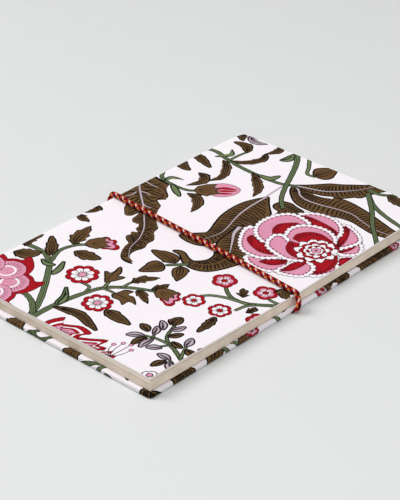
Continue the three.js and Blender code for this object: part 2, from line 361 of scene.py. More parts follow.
# ---- How the cord presses the diary
press = {
    "skew": 0.055,       # sideways run of the cord per millimetre across the cover
    "dip": 1.75,         # how far the fore-edge sinks under the cord
    "dipPower": 1.8,     # how late across the cover it does
    "lift": 0.1,         # how far its ends spring up
    "slant": 1.2,        # how far the lowest leaves stand out past the highest at the fore-edge
    "slantTail": 0.9,    # the same at the tail, near the corner
    "tailStart": (10, -40),  # where that begins in x and y
    "tailRun": (70, 60),     # and over what lengths
    "spring": 0.75,      # how far the lowest leaves stand off the back cover at the head
    "springStart": 5,    # where that begins, towards the tail, and over what length
    "springRun": 70,
    "reach": 98.0,       # from the cord to an end
    "rounding": 9.0,
    "groove": 0.45,      # the dent right under the cord
    "grooveWidth": 4.2,
    "grooveStart": 62,   # where it begins beside the spine, and over what length
    "grooveRun": 10,
    "cornerDip": 0.7,    # how far the corners at the spine sag
    "cornerReach": 6.0,
    "cornerRound": 2.0,  # how round they are, seen from above
    "cornerRise": 3.5,   # height over which they become so
    "partAt": 6.0,       # height at which the upper leaves part from the rest, at the tail
    "partWidth": 0.4,
}


def readValues(items, name, width, kind=float):
    values = np.empty(len(items) * width, kind)
    items.foreach_get(name, values)
    return values.reshape(-1, width)


def addColours(mesh, name, colours):
    layer = mesh.attributes.new(name, "FLOAT_COLOR", "CORNER")
    layer.data.foreach_set("color", colours.astype(np.float32).ravel())


# Darkness of the cut edges at the tail, against plain paper
cutMarks = {"upper": -0.5, "parting": 0.5, "lower": 0.12}


def markCut(piece):
    # tells the paper's material which faces are the leaves' cut edges, and in alpha how dark they are:
    # at the tail the upper leaves lie closer than the rest, with a shadow between them
    faces = piece.data.polygons
    _, normalY, normalZ = readValues(faces, "normal", 3).T
    below = press["partAt"] - readValues(faces, "center", 3)[:, 2] / mm
    dark = np.where(below < press["partWidth"], cutMarks["parting"], cutMarks["lower"])
    dark = np.where(below < 0, cutMarks["upper"], dark)
    marks = np.ones((len(faces), 4))
    marks[:, :3] = np.clip(3.4 - 4 * np.abs(normalZ), 0, 1)[:, None]  # 1 on upright faces, 0 on flat ones
    marks[:, 3] = 0.5 + dark * (normalY < -0.6)
    addColours(piece.data, "cut", np.repeat(marks, readValues(faces, "loop_total", 1, int)[:, 0], 0))


def acrossShare(x):
    # 0 at the spine, 1 at the back cover's fore-edge
    return np.clip((x + diary["coverHalfWidth"]) / (2 * diary["coverHalfWidth"]), 0, 1)


def pressAt(x, y):
    # change of height of the front cover at a place on it, in millimetres
    away = y + press["skew"] * x
    soft = press["rounding"]
    rise = (np.hypot(away, soft) - soft) / (math.hypot(press["reach"], soft) - soft)
    begins = np.clip((x + press["grooveStart"]) / press["grooveRun"], 0, 1)
    groove = press["groove"] * np.exp(-((away / press["grooveWidth"]) ** 2)) * begins
    toEnd = np.hypot(x + diary["coverHalfWidth"], np.abs(y) - diary["pageHalfLength"])
    sag = press["cornerDip"] * np.exp(-((toEnd / press["cornerReach"]) ** 2))
    sunk = -press["dip"] + (press["dip"] + press["lift"]) * rise
    return acrossShare(x) ** press["dipPower"] * sunk - groove - sag


def pressShare(z):
    # the pages give way, the back cover doesn't
    return np.clip((z - diary["pagesBottom"]) / (diary["top"] - diary["pagesBottom"]), 0, 1)


def roundEnds(x, y, z):
    # the two corners at the spine, rounded off towards the top
    radius = press["cornerRound"]
    dx = np.clip(-diary["coverHalfWidth"] + radius - x, 0, None)
    dy = np.clip(np.abs(y) - diary["pageHalfLength"] + radius, 0, None)
    scale = np.maximum(dx, dy) / np.maximum(np.hypot(dx, dy), tiny)
    rise = np.clip((z - diary["clothMeet"]) / press["cornerRise"], 0, 1)
    pull = (1 - scale) * rise * ((dx > 0) & (dy > 0))
    return x + dx * pull, y - np.sign(y) * dy * pull


def pressPiece(piece):
    mesh = piece.data
    points = readValues(mesh.vertices, "co", 3)
    x, y, z = points.T / mm
    points[:, 0], points[:, 1] = (side * mm for side in roundEnds(x, y, z))
    low = 1 - pressShare(z)
    out = acrossShare(x)
    spring = press["spring"] * out ** 2 * low * np.clip((y + press["springStart"]) / press["springRun"], 0, 1)
    (startX, startY), (runX, runY) = press["tailStart"], press["tailRun"]
    slantTail = press["slantTail"] * low * np.clip((startY - y) / runY, 0, 1) * np.clip((x + startX) / runX, 0, 1)
    points[:, 2] += (pressAt(x, y) * pressShare(z) + spring) * mm
    points[:, 0] += press["slant"] * low * out ** 3 * mm
    points[:, 1] -= slantTail * mm
    mesh.vertices.foreach_set("co", points.ravel())
    mesh.update()


# ---- Modelling helpers
def deselectAll():
    bpy.ops.object.select_all(action="DESELECT")


def activate(*pieces):
    deselectAll()
    for piece in pieces:
        piece.select_set(True)
    bpy.context.view_layer.objects.active = pieces[0]


def applyModifier(piece, kind, **settings):
    modifier = piece.modifiers.new(kind.lower(), kind)
    for name, value in settings.items():
        setattr(modifier, name, value)
    bpy.ops.object.modifier_apply(modifier=modifier.name)


def addMesh(name, vertices, faces):
    mesh = bpy.data.meshes.new(name)
    mesh.from_pydata(vertices, [], faces)
    piece = bpy.data.objects.new(name, mesh)
    bpy.context.scene.collection.objects.link(piece)
    return piece


def wear(piece, material):
    piece.data.materials.clear()
    piece.data.materials.append(material)


def finishPiece(piece, material, degrees=32):
    activate(piece)
    bpy.ops.object.shade_smooth_by_angle(angle=math.radians(degrees))
    wear(piece, materials[material])


def bisect(place, normal):
    bpy.ops.mesh.select_all(action="SELECT")
    bpy.ops.mesh.bisect(plane_co=place, plane_no=normal)


def cutUnderCord(offsets=(-6.2, -2.8, 0, 2.8, 6.2), shift=0.0):
    # in edit mode: cuts along the line of the cord
    for off in offsets:
        bisect((0, (off + shift) * mm, 0), (press["skew"], 1.0, 0.0))


def cutStrips(low, high, stepX, stepY):
    # in edit mode: even cuts across a flat piece, so that it can bend, and more under the cord
    for axis, step in enumerate((stepX, stepY)):
        normal = (float(axis == 0), float(axis == 1), 0.0)
        count = max(1, round((high[axis] - low[axis]) / step))
        for i in range(1, count):
            at = (low[axis] + (high[axis] - low[axis]) * i / count) * mm
            bisect((at * normal[0], at * normal[1], 0.0), normal)
    cutUnderCord()


def addSlab(name, low, high, step=0.0, bevel=0.0):
    # a flat piece between two corners, cut into strips where it has to bend
    deselectAll()
    centre = [(a + b) / 2 * mm for a, b in zip(low, high)]
    size = [(b - a) * mm for a, b in zip(low, high)]
    bpy.ops.mesh.primitive_cube_add(size=1, location=centre, scale=size)
    piece = bpy.context.object
    piece.name = name
    bpy.ops.object.transform_apply(location=True, rotation=True, scale=True)
    if bevel:
        applyModifier(piece, "BEVEL", width=bevel * mm, segments=2)
    if step:
        bpy.ops.object.mode_set(mode="EDIT")
        cutStrips(low, high, step, step)
        bpy.ops.object.mode_set(mode="OBJECT")
    return piece


def turnOutward():
    # the active piece's faces all look outward
    bpy.ops.object.mode_set(mode="EDIT")
    bpy.ops.mesh.select_all(action="SELECT")
    bpy.ops.mesh.normals_make_consistent(inside=False)
    bpy.ops.object.mode_set(mode="OBJECT")


def selectEdges(piece, test):
    # in edit mode: the edges whose two ends pass a test
    bpy.ops.mesh.select_mode(type="EDGE")
    bpy.ops.mesh.select_all(action="DESELECT")
    bpy.ops.object.mode_set(mode="OBJECT")
    for edge in piece.data.edges:
        edge.select = test(*(piece.data.vertices[i].co for i in edge.vertices))
    bpy.ops.object.mode_set(mode="EDIT")


# ---- Print: traditional flowers and leaves, drawn as inked outlines on the flat cloth
inks = {
    "brown": (98, 72, 43),
    "bark": (12, 8, 6),
    "green": (107, 122, 84),
    "moss": (26, 36, 24),
    "red": (163, 13, 28),
    "wine": (66, 6, 16),
    "pink": (219, 147, 173),
    "white": (246, 240, 245),
    "lavender": (188, 173, 180),
    "plum": (52, 34, 48),
    "berry": (96, 22, 58),
}

# Widths of the outlines and lines of the print
pen = {
    "stemEdge": 0.55,
    "leafEdge": 0.85,
    "ribStart": 0.34,
    "ribEnd": 0.18,
    "broadEdge": 1.0,
    "midrib": 0.55,
    "hatch": 0.92,
    "hatchShortest": 1.2,
    "hatchLongest": 14,
    "petalEdge": 0.34,
    "hem": 1.5,          # from a petal's outline to its pink body
    "hemLobe": 2.9,      # length of one frill along the hem
    "calyxEdge": 0.62,
    "hornEdge": 0.4,
    "cupEdge": 0.8,
}


def curveThrough(points, steps=8):
    # a smooth line through a few points
    path = np.array(points, float)
    ends = np.vstack([2 * path[0] - path[1], path, 2 * path[-1] - path[-2]])
    line = []
    for i in range(1, len(ends) - 2):
        a, b, c, d = ends[i - 1:i + 3]
        for k in range(steps):
            t = k / steps
            bend = (2 * a - 5 * b + 4 * c - d) * t * t
            line.append(0.5 * (2 * b + (c - a) * t + bend + (3 * b - a - 3 * c + d) * t ** 3))
    line.append(ends[-2])
    return np.array(line)


def loopThrough(points, steps):
    return curveThrough(list(points) + [points[0]], steps)[:-1]


def sideways(line):
    along = np.gradient(line, axis=0)
    along /= np.maximum(np.hypot(*along.T), tiny)[:, None]
    return np.stack([-along[:, 1], along[:, 0]], 1)


def band(line, left, right=None):
    # a closed outline to both sides of a line
    right = left if right is None else right
    left, right = (sideways(line) * np.asarray(half)[:, None] for half in (left, right))
    return np.vstack([line - right, (line + left)[::-1]])


def taper(line, start, end):
    # a band that goes from one width to another
    return band(line, np.linspace(start, end, len(line)))


def twiceArea(p):
    return np.dot(p[:, 0], np.roll(p[:, 1], -1)) - np.dot(p[:, 1], np.roll(p[:, 0], -1))


def leftTurning(points):
    return points if twiceArea(points) > 0 else points[::-1]


def cutsItself(loop):
    step = np.roll(loop, -1, 0) - loop
    start = step[:, :1] * (loop[None, :, 1] - loop[:, 1:]) - step[:, 1:] * (loop[None, :, 0] - loop[:, :1])
    parted = start * np.roll(start, -1, 1) < 0
    hit = parted & parted.T
    here = np.arange(len(loop))
    following = np.roll(here, -1)
    hit[here, following] = hit[following, here] = False
    return bool(hit.any())


def grow(points, width):
    # an outline moved outward; where that would cross itself it is scaled about its middle instead
    ahead = np.roll(points, -1, 0) - np.roll(points, 1, 0)
    length = np.maximum(np.hypot(*ahead.T), tiny)[:, None]
    outward = np.stack([ahead[:, 1], -ahead[:, 0]], 1) / length
    grown = points + outward * width
    if cutsItself(grown):
        middle = points.mean(0)
        size = np.hypot(*(points - middle).T).mean()
        grown = middle + (points - middle) * (1 + np.mean(width) / size)
    return grown


def reachTo(outline, point, direction):
    # how far it is from a point to an outline, along a direction
    start = outline - point
    step = np.roll(outline, -1, 0) - outline
    cross = direction[0] * step[:, 1] - direction[1] * step[:, 0]
    cross = np.where(np.abs(cross) < tiny, tiny, cross)
    far = (start[:, 0] * step[:, 1] - start[:, 1] * step[:, 0]) / cross
    along = (start[:, 0] * direction[1] - start[:, 1] * direction[0]) / cross
    hits = far[(along >= 0) & (along <= 1) & (far > 0)]
    return float(hits.min()) if len(hits) else 0.0


def turned(points, x, y, degrees, size=1.0):
    angle = math.radians(degrees)
    c, s = math.cos(angle), math.sin(angle)
    p = np.asarray(points, float) * size
    return np.stack([x + p[:, 0] * c - p[:, 1] * s, y + p[:, 0] * s + p[:, 1] * c], 1)


def ray(x, y, reach, angle, shares):
    # points on a line out from a place, at shares of its reach
    return [(x + reach * q * math.cos(angle), y + reach * q * math.sin(angle)) for q in shares]


def scallop(x, y, r, lobes, depth=0.14, start=0.0, squeeze=1.0, per=6):
    t = np.linspace(0, 2 * np.pi, lobes * per, endpoint=False)
    radius = r * (1 - depth + depth * np.abs(np.cos(lobes * t / 2)) ** 0.7)
    return np.stack([x + radius * np.cos(t + start), y + radius * squeeze * np.sin(t + start)], 1)


class Block:
    # prints motifs on one piece of cloth, in order, the later ones over the earlier ones
    def __init__(self, seed, degrees=0.0, shift=(0.0, 0.0)):
        self.shapes = []
        self.random = random.Random(seed)
        self.degrees = degrees
        self.shift = shift

    def put(self, ink, points):
        self.shapes.append((ink, leftTurning(turned(points, *self.shift, self.degrees))))

    def edged(self, ink, points, edge="bark", width=0.3):
        p = leftTurning(np.asarray(points, float))
        self.put(edge, grow(p, width))
        self.put(ink, p)

    def stroke(self, ink, points, width, end=0.15, steps=5):
        self.put(ink, taper(curveThrough(points, steps), width / 2, width * end / 2))

    def stem(self, points, width, end=None):
        line = curveThrough(points, 7)
        half = np.linspace(width / 2, (width if end is None else end) / 2, len(line))
        half = half * (1 + 0.07 * np.sin(np.arange(len(line)) * 1.7))
        self.edged("green", band(line, half), "moss", pen["stemEdge"])
        if width > 1.5:
            side = sideways(line)
            for off, thin in ((-0.3, 0.15), (0.42, 0.12)):
                self.put("moss", band(line + side * (half * off)[:, None], half * thin))

    def leaf(self, points, width, teeth=3, depth=0.25, ink="brown", edge="bark", rib="bark", belly=0.45,
             veins=2):
        # points run from the stalk to the tip
        line = curveThrough(points, 24 if teeth > 4 else 12)
        count = len(line)
        t = np.linspace(0, 1, count)
        swell = np.sin(np.pi * t ** (math.log(0.5) / math.log(belly))) ** 0.85
        sides = []
        for shift in (0.0, 0.37):
            saw = (t * teeth + shift) % 1.0
            sides.append(width / 2 * swell * (1 - depth + depth * 1.6 * saw ** 1.4) + 0.05)
        self.edged(ink, band(line, *sides), edge, pen["leafEdge"])
        if rib:
            self.put(rib, taper(line[1:-2], max(pen["ribStart"], width * 0.06), pen["ribEnd"]))
            side = sideways(line)
            for off in (0.42, -0.42)[:veins]:
                away = line + side * (width / 2 * swell * off)[:, None]
                self.put(rib, taper(away[int(count * 0.14):int(count * 0.82)], 0.38, 0.16))

    def greenLeaf(self, points, width, belly, rib=None, depth=0.05):
        self.leaf(points, width, 1, depth, "green", "moss", rib, belly, 1)

    def sprigLeaf(self, ink, x0, y0, x1, y1, width):
        edge = "plum" if ink == "lavender" else "bark"
        bow = (y1 - y0) * 0.06, (x0 - x1) * 0.06
        middle = ((x0 + x1) / 2 + bow[0], (y0 + y1) / 2 + bow[1])
        self.leaf([(x0, y0), middle, (x1, y1)], width, 1, 0.0, ink, edge, edge, 0.5, 1)

    def broadLeaf(self, outline, rib, ribInk="lavender", hatch=2.05, wave=0.12):
        # a big leaf by its outline, with a pale midrib and hatching from the rib towards the edge
        shape = loopThrough(outline, 5)
        self.edged("brown", shape, "bark", pen["broadEdge"])
        line = curveThrough(rib, 20)
        side = sideways(line)
        ahead = np.stack([side[:, 1], -side[:, 0]], 1)
        lines = int(np.hypot(*np.diff(line, axis=0).T).sum() / hatch)
        for k in range(1, lines):
            at = int(len(line) * k / lines)
            for sign in (1, -1):
                reach = reachTo(shape, line[at], side[at] * sign)
                if reach < pen["hatchShortest"]:
                    continue
                reach = min(reach, pen["hatchLongest"])
                near = 0.04 + 0.12 * self.random.random()
                far = 0.78 + 0.17 * self.random.random()
                path = []
                for q in (near, near * 0.6 + far * 0.4, near * 0.25 + far * 0.75, far):
                    drift = reach * 0.22 * q * q + wave * reach * 0.3 * math.sin(9 * q + k)
                    path.append(line[at] + side[at] * sign * reach * q + ahead[at] * drift)
                self.stroke("bark", path, pen["hatch"], 0.6, 2)
        if ribInk:
            self.put("bark", taper(line, pen["midrib"] + 0.35, 0.3))
            self.put(ribInk, taper(line, pen["midrib"], 0.12))

    def rosette(self, x, y, r, lobes=8, inner="white", heart="pink", start=0.3):
        self.edged("red", scallop(x, y, r, lobes, 0.17, start, per=8), "wine", 0.34)
        self.edged(inner, scallop(x, y, r * 0.7, lobes, 0.26, start, per=8), "wine", 0.16)
        if inner == "pink":
            self.put("white", scallop(x, y, r * 0.46, lobes, 0.3, start))
        for k in range(lobes * 2):
            line = ray(x, y, r * (0.64 if k % 2 else 0.46), start + np.pi * k / lobes, (0.3, 0.65, 1))
            self.stroke("bark", line, r * 0.04 + 0.2, 0.5, 1)
        self.put("bark", scallop(x, y, r * 0.3, 6, 0.3, start))
        self.put(heart, scallop(x, y, r * 0.23, 6, 0.12, start, per=4))

    def bud(self, x, y, degrees, size, opened=False):
        # petals above a toothed calyx, drawn pointing along +x and turned; opened ones show three lobes
        calyx = [(-0.6, 0.0), (-0.45, 0.3), (-0.1, 0.46), (0.3, 0.52), (0.14, 0.26), (0.4, 0.1), (0.2, -0.04),
                 (0.46, -0.26), (0.12, -0.3), (-0.1, -0.44), (-0.45, -0.28)]
        if opened:
            calyx = [(1.35 * a, 1.3 * b) for a, b in calyx]
            lobes = [(0.0, 0.5), (0.2, 0.72), (0.46, 0.68), (0.6, 0.42), (0.84, 0.4), (0.94, 0.16),
                     (0.86, -0.06), (1.06, -0.24), (1.1, -0.54), (0.86, -0.7), (0.5, -0.6), (0.1, -0.5)]
            petals = [("red", 0.36, lobes), ("pink", 0.36, [(0.06 + 0.74 * a, 0.78 * b) for a, b in lobes])]
        else:
            petals = [
                ("pink", 0.36, [(0.1, 0.4), (0.5, 0.56), (0.95, 0.4), (1.2, 0.04), (0.95, -0.36), (0.5, -0.5),
                                (0.1, -0.36)]),
                ("red", 0.16, [(0.2, 0.14), (0.6, 0.26), (1.1, 0.03), (0.66, 0.08)]),
                ("red", 0.16, [(0.2, -0.04), (0.6, 0.02), (1.05, -0.06), (0.6, -0.12)]),
                ("red", 0.16, [(0.25, -0.2), (0.55, -0.2), (0.9, -0.26), (0.55, -0.32)]),
            ]
        for ink, edge, points in petals:
            self.edged(ink, loopThrough(turned(points, x, y, degrees, size), 5), "wine", edge)
        self.edged("brown", turned(calyx, x, y, degrees, size), "bark", pen["calyxEdge"])
        for rise in (-0.2, 0.0, 0.2):
            line = [(-0.42, rise * 0.3), (-0.1, rise), (0.16, rise * 1.3)]
            self.stroke("bark", turned(line, x, y, degrees, size), 0.4)

    def petal(self, outline, shadow):
        # a white frilled hem with ticks, a pink body and a red shadow, hatched along its edge
        loop = curveThrough(outline + outline[:1], 9)
        run = np.concatenate([[0], np.cumsum(np.hypot(*np.diff(loop, axis=0).T))])
        lobes = max(5, round(run[-1] / pen["hemLobe"]))
        at = np.arange(lobes * 6) / 6
        loop = leftTurning(np.stack([np.interp(at * run[-1] / lobes, run, side) for side in loop.T], 1))
        frill = np.abs(np.sin(np.pi * at)) ** 0.7
        self.edged("white", grow(loop, (frill * 1.1 - 0.25)[:, None]), "plum", pen["petalEdge"])
        inner = grow(loop, -pen["hem"])
        self.edged("pink", inner, "wine", 0.12)
        for i in range(0, len(inner), 6):
            along = inner[(i + 1) % len(inner)] - inner[i - 1]
            along /= max(np.hypot(*along), tiny)
            out = np.array((along[1], -along[0])) * 0.6
            along = along * 0.8
            self.put("berry", [inner[i] + along - out, inner[i] + out, inner[i] - along - out])
        loop = loopThrough(shadow, 6)
        self.edged("red", loop, "wine", 0.3)
        centre = loop.mean(0)
        for k in range(0, len(loop), 2):
            near = loop[k] + (centre - loop[k]) * 0.06
            far = loop[k] + (centre - loop[k]) * (0.3 + 0.3 * self.random.random())
            self.stroke("wine", [near, (near + far) / 2, far], 0.7, 0.4, 1)

    def peony(self, petals, x, y, r):
        for outline, shadow in petals:
            self.petal(outline, shadow)
        for scale, lobes, depth, ink in (
            (1.0, 10, 0.2, "white"), (0.76, 9, 0.14, "red"), (0.62, 8, 0.24, "white"), (0.44, 7, 0.2, "red"),
            (0.36, 7, 0.26, "white"), (0.23, 6, 0.2, "pink"),
        ):
            start = scale * 5
            edge = scallop(x, y, r * scale, lobes, depth, start)
            n = np.arange(len(edge))
            rough = 1 + 0.05 * np.sin(n * 0.9 + scale * 9) + 0.03 * np.sin(n * 2.3)
            self.edged(ink, np.array((x, y)) + (edge - (x, y)) * rough[:, None], "wine", pen["petalEdge"])
            if ink == "white" and scale > 0.5:
                for k in range(lobes):
                    angle = start + 2 * math.pi * (k + 0.5) / lobes
                    self.stroke("wine", ray(x, y, r * scale, angle, (0.78, 0.86, 0.94)), 0.5, 0.6, 1)
        self.put("wine", scallop(x, y, r * 0.07, 5, 0.1, 0.0, 1.0, 3))

    def openFlower(self, x, y, r, start=0.0, count=6):
        # round pink petals with pale hearts and ray lines, each with a red horn curling past it
        horn = [(0.38, -0.34), (0.7, -0.38), (0.95, -0.26), (1.1, -0.04), (1.16, 0.16), (0.98, 0.14), (0.86, 0.3),
                (0.6, 0.42), (0.36, 0.3)]
        leans = [start + 360 * k / count for k in range(count)]
        for degrees in leans:
            self.edged("red", loopThrough(turned(horn, x, y, degrees, r), 6), "wine", pen["hornEdge"])
        for degrees in leans:
            (px, py), (qx, qy) = ray(x, y, r, math.radians(degrees), (0.56, 0.51))
            self.edged("pink", scallop(px, py, r * 0.34, 12, 0.03), "wine", 0.36)
            for j in range(15):
                lean = math.radians(degrees + (j - 7) * 15)
                self.stroke("plum", ray(px, py, r, lean, (0.19, 0.23, 0.28)), 0.42, 0.5, 1)
            self.edged("white", scallop(qx, qy, r * 0.2, 12, 0.03), "wine", 0.12)
            self.put("pink", scallop(qx, qy, r * 0.155, 12, 0.03))
            for j in range(5):
                dotX, dotY = qx + r * 0.05 * (j - 2), qy + r * 0.03 * (j % 3 - 1)
                self.put("wine", scallop(dotX, dotY, 0.3, 4, 0.1, per=2))
        self.edged("red", scallop(x, y, r * 0.3, 8, 0.12), "wine", 0.3)
        self.put("white", scallop(x, y, r * 0.24, 7, 0.18))
        for k in range(7):
            self.put("red", scallop(*ray(x, y, r, 2 * math.pi * k / 7, (0.15,))[0], r * 0.06, 5, 0.1))
        self.put("red", scallop(x, y, r * 0.08, 5, 0.1))

    def flame(self, outline, heartX, heartY):
        # a curling red tongue with a white inner line and a hatched pink heart
        shape = loopThrough(outline, 3)
        heart = np.array((heartX, heartY))
        for scale, ink in ((1.0, "red"), (0.76, "white"), (0.62, "red"), (0.48, "pink")):
            self.edged(ink, heart + (shape - heart) * scale, "wine", 0.42 if scale == 1.0 else 0.2)
        for k in range(0, len(shape), 3):
            path = [heart + (shape[k] - heart) * q for q in (0.12, 0.26, 0.42)]
            self.stroke("wine", path, 0.5, 0.5, 1)

    def cup(self, outline, vein):
        # a small brown cup left by a flower, with pointed lobes
        self.edged("brown", loopThrough(outline, 3), "bark", pen["cupEdge"])
        self.stroke("bark", vein, 0.6, 0.4, 3)

    def stamens(self, x, y, tips):
        for tipX, tipY in tips:
            bow = (tipX - x) * 0.3
            self.stroke("plum", [(x, y), ((x + tipX) / 2 + bow, (y + tipY) / 2), (tipX, tipY)], 0.5, 0.8, 5)
            self.edged("pink", scallop(tipX, tipY, 0.95, 5, 0.08, per=3), "plum", 0.3)


def tailBranches(b):
    b.stem([(-13, -103), (-20, -90), (-33, -73), (-43, -62.5), (-54, -58.5), (-72, -61)], 2.6, 1.8)
    b.stem([(-42, -62), (-46, -53), (-45, -46), (-42, -41), (-38, -39)], 1.7, 1.2)
    b.stem([(-34, -91), (-28, -91), (-21, -94), (-13, -101)], 1.9, 2.2)
    b.stem([(-12, -104), (-12, -88), (-9.5, -72), (-6, -62), (1, -55), (9, -50), (16, -47)], 2.6, 1.1)
    b.stem([(-6, -62), (-8, -57), (-9, -53)], 1.1, 0.7)
    b.stem([(-7, -63), (-1, -62), (4, -63)], 0.9, 0.6)
    b.stem([(0, -56), (0, -50), (2, -46)], 0.9, 0.5)
    b.stem([(11, -49), (13, -45), (13, -42)], 0.8, 0.5)
    b.stem([(-19, -66), (-12, -66), (-10, -70)], 0.9, 0.7)
    b.greenLeaf([(-12, -87), (-14, -80), (-19.4, -73.6)], 2.8, 0.3, "moss")
    b.greenLeaf([(-11.5, -86), (-12, -82), (-14.6, -77.4)], 1.8, 0.4)
    b.greenLeaf([(-32.6, -70), (-34, -64), (-37, -58.2)], 2.4, 0.35)
    b.greenLeaf([(-38, -63.6), (-42, -65.4), (-46.4, -63.8)], 1.8, 0.35)
    b.leaf([(-46, -43), (-49, -36), (-51.5, -26.5)], 8.5, 4, 0.25)
    b.leaf([(-39.8, -48), (-33, -46.8), (-26, -44.8)], 7, 3, 0.2)
    b.leaf([(-46.5, -58.5), (-51, -53), (-59, -45.5)], 5.5, 4, 0.25)
    b.leaf([(-61, -68), (-55.5, -65), (-51.5, -60)], 8.5, 3, 0.15)
    b.leaf([(-62, -60), (-64, -54), (-63, -48)], 5, 3, 0.25)
    b.rosette(-22, -60.5, 8.2)
    b.rosette(1.2, -73.5, 7.4, 8, "white", "pink", 0.1)
    b.bud(-36.5, -34.5, 42, 8.6, True)
    b.cup([(-9.3, -57.8), (-12.2, -54.6), (-16, -50.8), (-13.2, -51.2), (-12.4, -48), (-13.6, -43.4),
           (-10, -47), (-9, -50.6), (-5.6, -48.8), (-7.2, -54)],
          [(-10, -56), (-11.6, -51), (-12.8, -46)])
    b.leaf([(0.5, -49), (2, -44), (6.5, -38.5)], 5.5, 3, 0.3)
    b.leaf([(11.5, -47), (13, -43), (14, -39.5)], 4, 2, 0.3)
    b.leaf([(7.5, -53.5), (11, -54), (17.5, -57.5)], 4.6, 3, 0.2)
    b.cup([(1.5, -63.6), (2.4, -59.5), (3.2, -56.8), (6.8, -55.6), (6.6, -58.8), (9.8, -58.6), (14.4, -62.4),
           (10.6, -62.6), (10.4, -66.3), (7, -64.6), (3.6, -65)],
          [(2.4, -62), (6.5, -61.6), (11.5, -61.8)])
    b.leaf([(8.6, -75.4), (15, -75.8), (25.2, -76.6)], 6, 2, 0.15)
    b.leaf([(-11, -89.5), (-3.6, -87), (4, -86.3), (11, -88.4), (17.6, -90.4)], 4.6, 2, 0.15)
    b.bud(19.5, -46.5, -8, 8, True)
    b.openFlower(-53, -95, 24.5, 29, 7)
    b.flame([(-4, -106), (-4.2, -99), (-0.6, -92.3), (1.2, -97.4), (5.8, -95.4), (10.8, -92.6), (17.8, -93.8),
             (15.4, -97.6), (14, -106)],
            7, -102.5)
    b.flame([(13.6, -108), (14.6, -101.4), (20.4, -97.4), (27.4, -92.6), (27, -98.4), (31.4, -97.6),
             (29, -101), (30, -108)],
            22.5, -105)
    b.flame([(28.6, -108), (28.4, -101.8), (31.4, -98.4), (31.6, -101.6), (35.4, -97.4), (35, -101.6),
             (38.8, -99.4), (38, -108)],
            33, -105.5)
    b.stamens(37, -102, [(34, -89.5), (31.5, -93), (37.5, -88), (40.5, -91)])


def foreEdgeSprig(b):
    b.stem([(74, -86), (62.5, -81.5), (54, -77.5), (48.5, -75.5), (44, -71.5), (40.5, -63)], 1.7, 0.8)
    b.stem([(48.5, -76), (43, -76.3), (40, -77), (36, -78.4)], 1.0, 0.6)
    b.stem([(61, -81), (58.5, -76.5), (56, -71.5)], 1.0, 0.6)
    b.stem([(40.5, -77), (38.8, -74.6)], 0.6, 0.5)
    b.stem([(50, -76.5), (48, -79.5), (47, -82)], 0.7, 0.5)
    b.stem([(66, -89), (61, -86), (56, -84.5)], 0.5, 0.4)
    for ink, x0, y0, x1, y1, width in (
        ("brown", 39.6, -63, 38.4, -56, 3.8), ("lavender", 39, -69, 33.5, -64, 3.4),
        ("lavender", 42, -67, 44.8, -60.5, 3.2), ("brown", 35, -74.6, 28.6, -72.4, 4.4),
        ("lavender", 38.7, -74.6, 35.3, -68.8, 3.2), ("brown", 44.6, -71.3, 48, -65.6, 3.4),
        ("lavender", 36, -78.5, 30, -83.2, 3.8), ("brown", 38, -79, 37, -87, 3.8),
        ("brown", 49.3, -73.5, 55.4, -74.2, 3.4), ("lavender", 41, -78, 41.2, -86.6, 3.6),
        ("lavender", 48.8, -80.6, 43.8, -84.6, 3.6), ("lavender", 55.8, -72, 53.5, -65.4, 4.0),
        ("brown", 58, -74, 64, -74.6, 4.0), ("lavender", 58, -84.8, 51.2, -85, 3.8),
        ("brown", 57.6, -87, 55.6, -93.8, 3.8), ("lavender", 59.4, -86.4, 64, -90.5, 3.6),
        ("lavender", 62, -70, 66, -66, 3.4),
    ):
        b.sprigLeaf(ink, x0, y0, x1, y1, width * 0.78)
    b.edged("white", scallop(60.8, -100.4, 3.9, 5, 0.24, 0.5), "bark", 0.55)
    b.edged("pink", scallop(60.2, -99.8, 1.3, 5, 0.3, 0.2), "bark", 0.5)


def cordRosettes(b):
    # rosettes on branching stems by the cord
    b.stem([(74, -8), (62, -18), (52, -25.5), (44, -27), (38, -24.5), (34, -21)], 2.0, 1.0)
    b.stem([(52, -26), (42, -28.5), (35, -32), (31.5, -36)], 1.4, 1.0)
    b.stem([(55, -24), (52.5, -28), (51.5, -34)], 1.3, 0.9)
    b.stem([(66, -15), (58, -16), (53, -14)], 1.1, 0.8)
    b.rosette(30.5, -18, 6.1, 5, "pink", "red", 0.6)
    b.rosette(51.5, -12.5, 5.9, 5, "pink", "red", 0.2)
    b.rosette(32, -41, 5.5, 6, "white", "red", 0.4)
    b.rosette(46.5, -39, 5.6, 6, "white", "red")
    b.rosette(65, -33, 6, 6, "pink", "red", 0.5)
    b.leaf([(49, -45), (50.5, -51), (51.5, -59.5)], 4, 4, 0.25)
    b.leaf([(46, -22.5), (44, -20), (42, -17.5)], 4.6, 2, 0.45)
    b.leaf([(56.5, -31), (57, -28), (56.5, -26)], 3.4, 2, 0.3)
    b.leaf([(59, -2), (58, -6), (62, -9)], 7, 3, 0.3)
    b.leaf([(38.5, -63), (37.5, -60), (38, -56.5)], 3.8, 2, 0.2)


